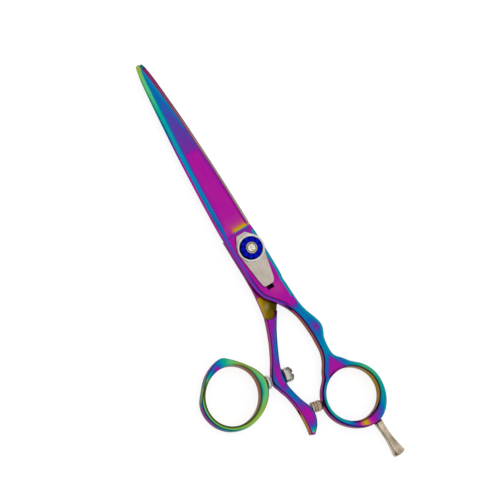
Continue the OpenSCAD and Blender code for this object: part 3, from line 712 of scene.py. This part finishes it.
def rear_coat(verts, quads, n):
    f, x, y, z = corner_data(rear_plan, verts, quads)
    up, wall, bevel, left, right = facing(n)
    film = along(y, REAR_FACE)
    # Off the ridge of the shank the coat turns blue
    aside = x - along(y, REAR_RIDGE)
    narrow = fall(y, -31, -29) * ramp(y, -44, -41)
    off = ramp(np.abs(aside) - along(y, {-53: 1.1, -50.5: .5, -46.5: .5, -44: 1.0}), 0, 0.75)
    film = film + mix(0.10, 0.20, blob(0, y, 0, -49, 2.5)) * off * fall(y, -30, -28) * (1 - narrow)
    film = film + 0.09 * ramp(aside, -0.6, 0.7) * narrow
    # The low lap beside the front half: a gold pocket, with painted shade that makes it darker towards the
    # right, and a step at its end
    low = fall(z, REAR_TOP + 0.1, REAR_TOP + 0.25) * ramp(y, -28.6, -28.2) * ramp(z, REAR_Z, REAR_TOP - 0.6)
    step = fall(np.abs(f.pocket - POCKET_R), 0.2, 0.4) * (1 - up) * fall(y, -23, -22)
    low = low * (1 - step)
    coated_bevel = bevel * (1 - low)
    film = mix(film, mix(0.0, 0.33, ramp(y, -18.6, -17.2)), low)
    film = mix(film, along(y, REAR_LEFT), coated_bevel * left)
    film = mix(film, mix(0.60, 0.575, narrow), coated_bevel * right)
    film = mix(film, mix(along(y, REAR_WALL), 0.62, right), wall)
    film = mix(film, 0.30, step)
    under = ramp(-n[:, 2], 0.2, 0.6)
    film = mix(film, along(y, {-70: .4, -40: .5, 0: .38, 40: .46, 83: .62}), under)
    # Painted shade across the pocket's floor and along its rim, and a painted glint
    side = x - along(y, {-28: -6.6, -24: -4.4, -18: -2.6})
    glint = blob(x - 0.35 * (y + 22.3), y, -6.0, -22.3, 1.1)
    floor_shade = np.maximum(along(side, POCKET_SHADE), 0.26 * fall(y, -25, -23)) + 0.25 * glint
    brink = ramp(f.pocket, POCKET_R - 0.7, POCKET_R - 0.2) * fall(y, -24, -22.5)
    # Painted shade: left-facing walls, the pocket's step, and the bevels beside the boss and on the right
    shade = 1 - 0.10 * wall * left
    shade = mix(shade, floor_shade * (1 - 0.7 * brink), low * up)
    shade = mix(shade, 0.45, step)
    lit_bevel = coated_bevel * (1 - under)
    shade = shade - 0.50 * lit_bevel * left * blob(0, y, 0, -47.5, 4.5) - 0.30 * lit_bevel * right
    # Riding face: bare ground steel near the heel, coated towards the tip
    face = up * ramp(z, REAR_TOP - 0.15, REAR_TOP - 0.05) * ramp(y, 6, 7)
    face_film = {30: .10, 50: .20, 64: .21, 70: .25, 80: .27, 81.2: .74, 83: .78}
    film = mix(film, along(y, face_film), face)
    shade = mix(shade, along(y, {8: 1.0, 40: .9, 52: .75, 64: .55, 74: .55, 83: .5}), face)
    bare = 1 - along(y, {20: .05, 40: .25, 52: .5, 64: .8, 74: 1})
    # The pocket's painted glint also thins the coat to pale steel
    coat = 1 - face * bare - 0.45 * low * up * glint
    # Painted shade along the rounded back edge of the riding face
    border = fall(f.back, 0.2, 0.42) * ramp(y, 8, 9) * ramp(z, REAR_TOP - 0.5, REAR_TOP - 0.2)
    shade = mix(shade, shade * 0.5, border)
    return {"film": film, "shade": np.clip(shade, 0.1, 1), "coat": coat}


def ring_coat(verts, quads, n):
    f, _, _, z = corner_data(thumb_ring_plan, verts, quads)
    _, wall, bevel, left, _ = facing(n)
    a = f.angle
    # Share of the way from the hole's edge to the outer edge
    share = np.clip(-f.hole / np.minimum(-f.hole + f.outer, -0.5), 0, 1)
    film = along(a, THUMB_RING_FILM) + ramp(share, 0.5, 0.95) * along(a, RING_RIM_SHIFT)
    film = film - 0.05 * blob(a, 0, -22, 0, 22) * fall(share, 0.1, 0.5)
    film = film - 0.22 * blob(a, 0, 90, 0, 7) * fall(share, 0.35, 0.75)
    inner = fall(f.hole, 0.4, 0.9)
    grey = blob(a, 0, 148, 0, 20)
    film = mix(film, mix(along(a, RING_WALL), 0.10, inner), wall)
    # Painted shade on the walls, more where they turn grey, and on the left-facing bevels
    shade = 1 - wall * (0.1 + 0.3 * grey) - 0.30 * bevel * left * (1 - inner)
    # Painted shade: a dark line along the hole's rim
    lip = fall(f.hole, 0.65, 1.0) * ramp(z, RING_H - 0.8, RING_H - 0.4)
    shade = shade - 0.80 * lip * (1 - blob(a, 0, 80, 0, 34)) * mix(1, 0.6, blob(a, 0, 0, 0, 50))
    coat = 1 - 0.5 * wall * grey * (1 - inner)
    return {"film": film, "shade": np.clip(shade, 0.1, 1), "coat": coat}


def dial_painted_shade(verts, quads):
    """Painted shade on the dial's blue: ten bright round lobes between dark grooves, and a black rim below
    the top.
    """
    x, y, z = verts[quads.ravel()].T
    r, a = np.hypot(x, y), np.arctan2(y, x)
    pitch = 2 * math.pi / DIAL_NOTCHES
    b = a - (np.floor(a / pitch) + 0.5) * pitch
    lobe = 1 - ramp(np.hypot((r - 3.35) / 1.1, r * b / 1.08), 0.8, 1.15)
    ring = fall(np.abs(r - 3.2), 0.7, 1.05) * 0.5
    return {"shade": 0.06 + 0.94 * np.maximum(lobe, ring) * ramp(z, DIAL_TOP - 0.4, DIAL_TOP - 0.2)}


# ---------------------------------------------------------------- materials
def linear(rgb):
    """sRGB to scene-linear."""
    return tuple(c / 12.92 if c <= 0.04045 else ((c + 0.055) / 1.055) ** 2.4 for c in rgb)


class Nodes:
    """A short way to build the node tree of a material or a world."""

    def __init__(self, owner, shader):
        owner.use_nodes = True
        self.owner, self.tree = owner, owner.node_tree
        self.shader = self.tree.nodes[shader]

    def set(self, socket, value):
        self.shader.inputs[socket].default_value = value

    def to(self, socket, source):
        self.tree.links.new(source, self.shader.inputs[socket])

    def node(self, kind, links=(), **settings):
        n = self.tree.nodes.new(kind)
        for key, value in settings.items():
            if key.startswith("in_"):
                name = key[3:].replace("_", " ")
                n.inputs[int(name) if name.isdigit() else name].default_value = value
            else:
                setattr(n, key, value)
        for socket, source in links:
            self.tree.links.new(source, n.inputs[socket])
        return n

    def ramp(self, source, stops, convert=linear):
        n = self.node("ShaderNodeValToRGB", [("Fac", source)])
        while len(n.color_ramp.elements) < len(stops):
            n.color_ramp.elements.new(0.5)
        # Places first, since the elements sort themselves by place
        for e, (at, rgb) in zip(n.color_ramp.elements, stops):
            e.position = at
        for e, (at, rgb) in zip(n.color_ramp.elements, stops):
            e.color = (*convert(rgb), 1)
        return n.outputs["Color"]

    def noise(self, scale, stretch=(1, 1, 1), detail=3.0, rough=0.5):
        """Noise in object space, in the object's own metres, stretched along its axes."""
        coord = self.node("ShaderNodeTexCoord").outputs["Object"]
        place = self.node("ShaderNodeMapping", [("Vector", coord)], in_Scale=stretch)
        tex = self.node("ShaderNodeTexNoise", [("Vector", place.outputs["Vector"])],
                        in_Scale=scale, in_Detail=detail, in_Roughness=rough)
        return tex.outputs["Fac"]

    def attribute(self, name):
        return self.node("ShaderNodeAttribute", attribute_name=name).outputs["Fac"]

    def math(self, op, *sources):
        n = self.node("ShaderNodeMath", operation=op)
        for i, source in enumerate(sources):
            if isinstance(source, (int, float)):
                n.inputs[i].default_value = source
            else:
                self.tree.links.new(source, n.inputs[i])
        return n.outputs["Value"]

    def spread(self, source, low, high):
        """Maps 0..1 to low..high."""
        return self.node("ShaderNodeMapRange", [("Value", source)], in_3=low, in_4=high).outputs["Result"]

    def mix(self, fac, a, b, blend="MIX"):
        n = self.node("ShaderNodeMix", data_type="RGBA", blend_type=blend)
        for index, source in ((0, fac), (6, a), (7, b)):
            if isinstance(source, (int, float, tuple)):
                n.inputs[index].default_value = source
            else:
                self.tree.links.new(source, n.inputs[index])
        return n.outputs[2]

    def bump(self, height, strength, distance):
        n = self.node("ShaderNodeBump", [("Height", height)], in_Strength=strength, in_Distance=distance * MM)
        self.to("Normal", n.outputs["Normal"])


def new_material(name, metallic=0.0, roughness=0.4):
    m = Nodes(bpy.data.materials.new(name), "Principled BSDF")
    m.set("Metallic", metallic)
    m.set("Roughness", roughness)
    return m


COAT_RAMP = [(0.0, (.75, .63, .12)), (.06, (.74, .50, .20)), (.12, (.72, .42, .27)), (.25, (.72, .26, .48)),
             (.36, (.66, .08, .60)), (.42, (.52, .12, .61)), (.48, (.40, .20, .61)), (.53, (.27, .27, .65)),
             (.58, (.06, .38, .67)), (.66, (.0, .51, .68)), (.72, (.03, .57, .60)), (.78, (.06, .65, .52)),
             (.84, (.34, .73, .47)), (.90, (.50, .67, .28)), (1.0, (.70, .68, .22))]


def coated_steel(name):
    """Polished steel under a heat-tinted film; the mesh says how thick the film is, where it is gone to bare
    steel or thinned by a painted glint, and where shade is painted on it.
    """
    m = new_material(name, metallic=1.0)
    m.set("Specular Tint", (0.42, 0.42, 0.42, 1))
    cloud = m.spread(m.noise(95, detail=2.5), -0.022, 0.022)
    streak = m.spread(m.noise(260, (3.0, 0.12, 3.0), 2.0), -0.010, 0.010)
    thick = m.math("ADD", m.attribute("film"), m.math("ADD", cloud, streak))
    steel = m.ramp(m.noise(700, (3.0, 0.2, 3.0), 2.0), [(0.3, (.61, .57, .50)), (0.7, (.73, .69, .61))])
    wear_and_glint = m.mix(m.attribute("coat"), steel, m.ramp(thick, COAT_RAMP))
    # The shade attribute is painted shade, multiplied into the colour
    shade = m.ramp(m.attribute("shade"), [(0, (0, 0, 0)), (1, (1, 1, 1))])
    m.to("Base Color", m.mix(1.0, wear_and_glint, shade, "MULTIPLY"))
    m.to("Roughness", m.spread(m.noise(420, (2.5, 0.25, 2.5), 4.0), 0.17, 0.27))
    m.bump(m.noise(1500, (3.0, 0.06, 3.0), 3.0), 0.10, 0.004)
    return m.owner


def brushed(name, dark, light, roughness, grain=1200, stretch=(1, 0.08, 1), bump=0.15):
    """Bare metal with a fine grain and soft cloudy variation."""
    m = new_material(name, metallic=1.0)
    cloud = m.noise(240, detail=4.0)
    fine = m.noise(grain, stretch, 3.0, 0.6)
    tone = m.math("ADD", m.math("MULTIPLY", cloud, 0.6), m.math("MULTIPLY", fine, 0.4))
    m.to("Base Color", m.ramp(tone, [(0.35, dark), (0.65, light)]))
    m.to("Roughness", m.spread(m.noise(grain, stretch, 2.0), roughness * 0.85, roughness * 1.2))
    m.bump(fine, bump, 0.006)
    return m.owner


def moulded(name, dark, light, roughness, metallic=0.0):
    """Plastic, rubber or lacquer with a faint mottling."""
    m = new_material(name, metallic=metallic)
    m.to("Base Color", m.ramp(m.noise(500, detail=4.0), [(0.35, dark), (0.65, light)]))
    m.to("Roughness", m.spread(m.noise(900, detail=2.0), roughness * 0.85, roughness * 1.15))
    m.bump(m.noise(2600, detail=3.0), 0.12, 0.004)
    return m.owner


def dial_anodised():
    """Deep blue anodised metal; its painted shade, from the mesh, says where it is bright."""
    m = new_material("dial_anodised", metallic=1.0)
    m.set("Specular Tint", (0.3, 0.3, 0.4, 1))
    tone = m.math("ADD", m.attribute("shade"), m.spread(m.noise(600, detail=3.0), -0.10, 0.10))
    m.to("Base Color", m.ramp(tone, [(0, (.01, .01, .05)), (0.45, (.01, .01, .40)), (1, (.03, .07, .68))]))
    m.to("Roughness", m.spread(m.noise(900, detail=2.0), 0.14, 0.24))
    return m.owner


def cut_crystal():
    """Foil-backed stone: bright, hard facets."""
    m = new_material("cut_crystal", metallic=0.9, roughness=0.04)
    m.to("Base Color", m.ramp(m.noise(1400, detail=2.0), [(0.35, (.66, .64, .58)), (0.62, (.95, .94, .90))]))
    m.set("Coat Weight", 1.0)
    m.set("Coat Roughness", 0.02)
    return m.owner


def notched_end_steel():
    """The swivel bolt: bright steel that turns a darker brown-grey towards its notched end."""
    m = new_material("notched_end_steel", metallic=1.0)
    place = m.node("ShaderNodeTexCoord").outputs["Object"]
    x = m.node("ShaderNodeSeparateXYZ", [("Vector", place)]).outputs["X"]
    cloud = m.spread(m.noise(520, detail=4.0), -0.55 * MM, 0.55 * MM)
    reach = m.math("SUBTRACT", m.math("ADD", x, cloud), (SWIVEL_AT[0] + 4.0) * MM)
    reach = m.math("DIVIDE", reach, 1.6 * MM)
    m.to("Base Color", m.ramp(reach, [(0, (.76, .75, .72)), (0.45, (.58, .54, .50)), (1, (.30, .26, .24))]))
    m.to("Roughness", m.spread(m.noise(900, detail=2.0), 0.2, 0.34))
    m.bump(m.noise(1800, detail=3.0), 0.12, 0.004)
    return m.owner


MAT = {
    "front_coat": coated_steel("front_coat"),
    "rear_coat": coated_steel("rear_coat"),
    "ring_coat": coated_steel("ring_coat"),
    "satin_steel": brushed("satin_steel", (.68, .65, .60), (.79, .75, .70), 0.30),
    "bright_steel": brushed("bright_steel", (.72, .71, .69), (.88, .87, .85), 0.16, bump=0.06),
    "bolt_steel": brushed("bolt_steel", (.56, .56, .57), (.72, .72, .73), 0.3),
    "bearing_bronze": brushed("bearing_bronze", (.62, .46, .24), (.76, .6, .34), 0.3),
    "slip_plastic": moulded("slip_plastic", (.84, .84, .80), (.93, .93, .90), 0.45),
    "dial_blue": dial_anodised(),
    "crystal": cut_crystal(),
    "dark_washer": moulded("dark_washer", (.20, .23, .33), (.32, .35, .45), 0.3),
    "bumper_coat": moulded("bumper_coat", (.56, .48, .41), (.76, .68, .59), 0.28, 0.85),
    "nickel_steel": brushed("nickel_steel", (.54, .48, .40), (.82, .76, .68), 0.2, 900, (1.5, 0.03, 1.5)),
    "black_rubber": moulded("black_rubber", (.02, .02, .02), (.05, .05, .05), 0.6),
}


# ---------------------------------------------------------------- small pieces
def level_frame(origin, angle):
    """Takes points drawn along +Z onto a level axis through origin, as the CAD design does."""
    ez = np.array([math.cos(angle), math.sin(angle), 0])
    ex = np.array([0, 0, -1.0])
    ey = np.cross(ez, ex)
    basis = np.stack([ex, ey, ez])
    return lambda p: np.asarray(p) @ basis + [origin[0], origin[1], AXIS_Z]


def rest_frame(p):
    """Takes points drawn along +Z onto the finger rest's axis, pointing away from the ring."""
    p = np.asarray(p, float)
    s, c = math.sin(REST_LEAN), math.cos(REST_LEAN)
    return np.stack([REST_AT[0] + p[:, 0] * c + p[:, 2] * s, REST_AT[1] + p[:, 0] * s - p[:, 2] * c,
                     AXIS_Z + p[:, 1]], 1)


def upright(p):
    return np.asarray(p, float)


SWIVEL = level_frame(SWIVEL_AT, SWIVEL_ANGLE)
BUMP = level_frame(FINGER_RING, BUMPER_ANGLE)


def contoured(name, body, slot, node, solid, low, high, cell, place=upright, plan=lambda x, y: Fields(),
              material=None, paint=None):
    """A piece contoured in its own upright frame and put in place."""
    verts, quads, normals = contour(Body(plan, solid), low, high, cell * (1))
    normals = place(normals) - place(np.zeros((1, 3)))
    attributes = paint(verts, quads) if paint else None
    mesh_object(name, body, slot, node, place(verts), quads, normals, material, attributes)


def turned(name, body, slot, node, profile, place=upright, n=72, wave=None, material=None):
    """A piece of n sides turned from a closed (radius, height) profile.

    wave(angle, radius, height) gives each point a new radius.
    """
    n = n
    verts, faces, rows = [], [], []
    for r, h in profile:
        if r < 1e-6:
            rows.append([len(verts)] * n)
            verts.append((0, 0, h))
            continue
        rows.append(list(range(len(verts), len(verts) + n)))
        for k in range(n):
            a = 2 * math.pi * k / n
            rr = wave(a, r, h) if wave else r
            verts.append((rr * math.cos(a), rr * math.sin(a), h))
    closed = profile[0][0] > 1e-6
    for i in range(len(rows) - (0 if closed else 1)):
        a, b = rows[i], rows[(i + 1) % len(rows)]
        for k in range(n):
            m = (k + 1) % n
            ring = []
            for v in (a[k], a[m], b[m], b[k]):
                if v not in ring:
                    ring.append(v)
            if len(ring) > 2:
                faces.append(ring)
    mesh = mesh_object(name, body, slot, node, place(verts), faces, material=material).data
    if signed_volume(mesh) < 0:
        mesh.flip_normals()
    mesh.set_sharp_from_angle(angle=SHARP_ANGLE)


def signed_volume(mesh):
    mesh.calc_loop_triangles()
    co = np.array([v.co for v in mesh.vertices])
    tri = np.array([t.vertices for t in mesh.loop_triangles])
    a, b, c = co[tri[:, 0]], co[tri[:, 1]], co[tri[:, 2]]
    return float(np.einsum("ij,ij->i", a, np.cross(b, c)).sum())


def eased(r_in, r_out, low, high, c=0.08):
    """Closed profile of a flat ring with chamfered corners."""
    return [(r_in + c, low), (r_out - c, low), (r_out, low + c), (r_out, high - c), (r_out - c, high),
            (r_in + c, high), (r_in, high - c), (r_in, low + c)]


def leaf_plan(x, y):
    eye = np.hypot(x, y)
    top = [[-2.6, 6.6], [1.3, 6.6], [3.7, 4.1], [0, 0], [-4.8, 2.8]]
    tail = curve([[-5.2, -1.8], [-4.9, -5], [-4.1, -12], [-3.7, -14.5], [-3.3, -15.2], [-2.6, -15.55],
                  [0.1, -15.55], [0.9, -15.2], [1.5, -14.3], [2.2, -12], [3.1, -8], [4.0, -4.2], [5.1, -1.8]])
    top_d, tail_d = distances(x, y, [(np.array(top, float), True), (tail, True)])
    return Fields(plate=smooth_min(np.minimum(top_d, tail_d), eye - 5.48, 0.3), eye=eye)


def leaf_solid(f, x, y, z):
    plate = rounded(f.plate, z, FRONT_TOP, LEAF_TOP, 0.04)
    hook = meet(np.abs(x + 1.2) - 1.1, np.abs(y + 15.2) - 0.3, z - FRONT_TOP - 0.2, FRONT_TOP - 1.4 - z)
    return cut(np.minimum(plate, hook), f.eye - NECK_BORE_R)


def dial_solid(_, x, y, z):
    r, a = np.hypot(x, y), np.arctan2(y, x)
    body = meet(r - DIAL_R, DIAL_Z - z, z - DIAL_TOP, (r - DIAL_R + (z - DIAL_TOP) + 0.3) * 0.71)
    # Click notches round the rim, each running on as a shallow groove towards the collar
    pitch = 2 * math.pi / DIAL_NOTCHES
    b = a - np.round(a / pitch) * pitch
    across, out = r * np.sin(b), r * np.cos(b)
    notch = meet(np.hypot(out - 4.65, across) - 0.5, DIAL_Z + 0.4 - z)
    groove = meet(2.7 - out, np.abs(across) - 0.6, DIAL_TOP - 0.30 + 0.5 * across ** 2 - z)
    body = cut(body, groove, notch)
    # Neck down through the leaf spring, bore, room for the spring washer, and the collar's seat
    neck = meet(r - NECK_R, NECK_Z - z, z - DIAL_Z - 0.5)
    washer_room = meet(r - 4.0, NECK_R - r, z - DIAL_Z - 0.35, DIAL_Z - 0.3 - z)
    return cut(np.minimum(body, neck), r - 2.05, washer_room, meet(r - 2.3, BEZEL_Z - z))


def screw_solid(_, x, y, z):
    """Slotted and notched head on a plain shank; z runs from the boss centre towards the head."""
    r, a = np.hypot(x, y), np.arctan2(y, x)
    head = meet(r - SCREW_HEAD_R, 2.8 - z, z - 6.1, (r - SCREW_HEAD_R + z - 5.3) * 0.71)
    pitch = math.pi / 5
    b = a - (np.floor(a / pitch) + 0.5) * pitch
    notch = meet(np.hypot(r * np.cos(b) - SCREW_HEAD_R - 0.15, r * np.sin(b)) - 0.45, 4.3 - z)
    groove = meet(np.abs(z - 4.1) - 0.09, SCREW_HEAD_R - 0.17 - r)
    head = cut(head, meet(np.abs(y) - 0.42, 5.45 - z), notch, groove)
    return np.minimum(head, meet(r - 1.1, -7.6 - z, z - 3))


def crystal_mesh():
    """A brilliant cut: table, two rings of crown facets and a short girdle."""
    low, top, r = CRYSTAL_Z, CRYSTAL_TOP - 0.2, 1.55
    rings = [(r, low, 0), (r, low + 0.1, 0), (r * 0.80, low + 0.28, 0.5), (r * 0.50, top, 0)]
    verts, faces = [], []
    for rr, h, turn in rings:
        for k in range(8):
            a = (k + turn) * math.pi / 4
            verts.append((rr * math.cos(a), rr * math.sin(a), h))
    for k in range(8):
        m = (k + 1) % 8
        faces.append((k, m, 8 + m, 8 + k))
        faces.append((8 + k, 8 + m, 16 + k))
        faces.append((8 + m, 16 + m, 16 + k))
        faces.append((16 + k, 24 + m, 24 + k))
        faces.append((16 + k, 16 + m, 24 + m))
    faces.append(tuple(range(24, 32)))
    faces.append(tuple(range(7, -1, -1)))
    mesh = mesh_object("crystal", "dial", "crystal", "dial_crystal", verts, faces).data
    mesh.polygons.foreach_set("use_smooth", [False] * len(mesh.polygons))


def build_halves():
    for name, body, node, slot, plan, solid, coat, cell in (
            ("front_half", "finger_side", "finger_half", "front_coat",
             front_plan, front_solid, front_coat, 0.225),
            ("rear_half", "thumb_side", "thumb_half", "rear_coat",
             rear_plan, rear_solid, rear_coat, 0.215),
            ("swivel_thumb_ring", "swivel_ring", "thumb_ring", "ring_coat",
             thumb_ring_plan, thumb_ring_solid, ring_coat, 0.2)):
        low, high = box_mm(node)
        verts, quads, normals = contour(Body(plan, solid), low, high, cell)
        mesh_object(name, body, slot, node, verts, quads, normals, attributes=coat(verts, quads, normals))


def build_pivot():
    contoured("tension_leaf", "finger_side", "satin_steel", "leaf_spring", leaf_solid,
              (-6, -18, FRONT_TOP - 1.5), (6, 7, LEAF_TOP), 0.13, plan=leaf_plan)
    turned("dial_seat", "finger_side", "bright_steel", "seat_washer",
           eased(NECK_BORE_R, 5.4, LEAF_TOP, SEAT_TOP, 0.1), n=96)
    contoured("dial_nut", "dial", "dial_blue", "tension_dial", dial_solid,
              (-4.6, -4.6, NECK_Z), (4.6, 4.6, DIAL_TOP), 0.1, paint=dial_painted_shade)
    collar = [(0, 0), (2.22, 0), (2.28, 0.06), (2.26, 0.26), (2.14, 0.38), (1.98, 0.46), (1.88, 0.46),
              (1.74, 0.34), (1.62, 0.2)]
    collar = [(r, BEZEL_Z + h) for r, h in collar] + [(1.62, CRYSTAL_Z), (0, CRYSTAL_Z)]
    turned("dial_collar", "dial", "bright_steel", "dial_bezel", collar, n=96,
           material=MAT["nickel_steel"])
    crystal_mesh()
    foot, top = (b[2] for b in box_mm("pivot_bolt"))
    edge = 4.2
    head = [(0, 0.35), (1.1, 0.35), (1.3, 0.1), (1.5, 0), (edge - 0.45, 0), (edge - 0.12, 0.1), (edge, 0.35)]
    shank = [(edge, 0.92), (edge - 0.08, 1.0), (2.1, 1.0), (2.0, 1.1), (2.0, top - 0.1), (1.9, top), (0, top)]
    turned("bolt_head", "finger_side", "bolt_steel", "pivot_bolt", [(r, foot + h) for r, h in head] + shank)


def build_swivel():
    contoured("swivel_bolt", "swivel_ring", "bright_steel", "swivel_screw", screw_solid,
              (-3.0, -3.0, -7.7), (3.0, 3.0, 6.2), 0.11, place=SWIVEL, material=notched_end_steel())
    turned("swivel_collar", "thumb_side", "satin_steel", "swivel_sleeve",
           eased(1.15, 1.55, -3.15, 2.35, 0.1), SWIVEL)
    turned("head_washer", "thumb_side", "dark_washer", "swivel_head_washer",
           eased(1.15, 2.7, 2.4, 2.75), SWIVEL)
    pale_steel = brushed("pale_steel", (.68, .70, .72), (.82, .83, .84), 0.3, bump=0.05)
    turned("ring_spacer", "swivel_ring", "bright_steel", "swivel_ring_washer",
           [(1.1, -4.6), (2.7, -4.6), (2.8, -4.5), (2.8, -3.75), (2.65, -3.55), (2.1, -3.45), (1.9, -3.2),
            (1.1, -3.2)], SWIVEL, material=pale_steel)


def build_fittings():
    # Bumper: ribbed sides and a domed tip against the finger ring
    tip_r = float(finger_ring_r(math.degrees(BUMPER_ANGLE) - 360)) + 0.1
    r, length = 2.2, BUMPER_BASE_R - tip_r
    profile = [(0, 0), (r - 0.25, 0), (r - 0.05, 0.1), (r, 0.3)]
    for start in (0.75, 1.75):
        profile += [(r, start), (r - 0.1, start + 0.08), (r - 0.42, start + 0.16), (r - 0.42, start + 0.34),
                    (r - 0.1, start + 0.42), (r, start + 0.5)]
    profile += [(r, length - 1.3), (r - 0.12, length - 0.9), (r - 0.45, length - 0.45),
                (r - 0.95, length - 0.15), (r - 1.5, length - 0.03), (0, length)]
    flipped = [(rr, BUMPER_BASE_R - h) for rr, h in profile]
    turned("ribbed_bumper", "thumb_side", "bumper_coat", "bumper", flipped, BUMP)
    # Finger rest: a waisted, fluted peg with a flared end
    top, length = 0.45, 15.0
    waist = curve([[1.72, 0.6], [1.6, 0.2 * length], [1.55, 0.36 * length], [1.7, 0.52 * length],
                   [2.1, 0.73 * length], [2.58, 0.92 * length]], steps=5)
    peg = [(0, -3.2), (1.0, -3.2), (1.1, -3.1), (1.1, 0.4), (1.55, top), (1.7, top + 0.12)]
    peg += [(rr, top + h) for rr, h in waist]
    peg += [(2.55, top + 0.942 * length), (2.42, top + 0.96 * length), (2.05, top + 0.98 * length),
            (1.4, top + 0.994 * length), (0.7, top + length), (0, top + length)]

    def flutes(a, rr, h):
        depth = 0.07 * float(ramp(h, top + 0.5, top + 2.5)) * float(fall(h, top + 12.4, top + 14))
        return rr * (1 - depth * (0.5 - 0.5 * math.cos(8 * a)))
    turned("finger_peg", "rest", "nickel_steel", "finger_rest", peg, rest_frame, 96, flutes)
    turned("peg_washer", "finger_side", "black_rubber", "rest_washer", eased(1.15, 1.75, 0, 0.4), rest_frame)


def dress_cad_nodes():
    """CAD nodes that stay get their slot's material."""
    for part in frame["record"]["subparts"]:
        obj = frame["nodes"][part["node"]]
        if not obj.hide_render:
            obj.data.materials.clear()
            obj.data.materials.append(MAT[part["material_slot"]])


# ---------------------------------------------------------------- floor, light, camera
def build_stage():
    reach = 3.0
    mesh = bpy.data.meshes.new("floor")
    corners = [(-reach, -reach, 0), (reach, -reach, 0), (reach, reach, 0), (-reach, reach, 0)]
    mesh.from_pydata(corners, [], [(0, 1, 2, 3)])
    floor = bpy.data.objects.new("floor", mesh)
    floor.location.z = CAD_BOX[0].z - 0.02 * MM
    bpy.context.scene.collection.objects.link(floor)
    m = new_material("floor_white", roughness=0.8)
    m.set("Base Color", (0.30, 0.30, 0.30, 1))
    m.set("Specular IOR Level", 0.0)
    m.set("Emission Color", (1, 1, 1, 1))
    m.set("Emission Strength", 0.80)
    mesh.materials.append(m.owner)

    # A white studio, dark low down on the -X side: brightness by the direction's Z plus part of its X
    w = Nodes(bpy.data.worlds.new("studio"), "Background")
    bpy.context.scene.world = w.owner
    coord = w.node("ShaderNodeTexCoord").outputs["Generated"]
    split = w.node("ShaderNodeSeparateXYZ", [("Vector", coord)]).outputs
    height = w.math("MULTIPLY_ADD", split["X"], 0.6, split["Z"])
    place = w.node("ShaderNodeMapRange", [("Value", height)], in_From_Min=-0.6, in_From_Max=1.4)
    grey = [(0.0, 0.04), (0.28, 0.06), (0.38, 0.28), (0.47, 1.12), (0.56, 1.15), (0.72, 1.0), (1.0, 0.98)]
    w.to("Color", w.ramp(place.outputs["Result"], grey, convert=lambda v: (v, v, v)))
    w.set("Strength", 1.0)


def build_camera():
    """A long lens 14.5 degrees off the pivot axis, rolled so that the blades point up and to the left."""
    tilt, foot, roll = math.radians(14.5), math.radians(185), math.radians(121.46)
    towards = Vector((math.sin(tilt) * math.cos(foot), math.sin(tilt) * math.sin(foot), math.cos(tilt)))
    blades = Vector((0, 1, 0))
    blades = (blades - towards * blades.dot(towards)).normalized()
    side = blades.cross(towards)
    right = math.cos(roll) * blades + math.sin(roll) * side
    up = math.sin(roll) * blades - math.cos(roll) * side
    aim = (Vector((0, 0, 6.2)) - right * 0.23 - up * 0.65) * MM
    cam = bpy.data.cameras.new("camera")
    cam.sensor_width, cam.lens = 36, 200
    view_width = 191.7 * MM
    distance = view_width * cam.lens / cam.sensor_width
    obj = bpy.data.objects.new("camera", cam)
    basis = Matrix((right, up, towards)).transposed().to_4x4()
    obj.matrix_world = Matrix.Translation(aim + towards * distance) @ basis
    bpy.context.scene.collection.objects.link(obj)
    bpy.context.scene.camera = obj
    cam.clip_start, cam.clip_end = 0.01, 20


build_halves()
build_pivot()
build_swivel()
build_fittings()
dress_cad_nodes()
build_stage()
build_camera()
bpy.context.scene.view_settings.view_transform = "Standard"

bpy.context.view_layer.update()
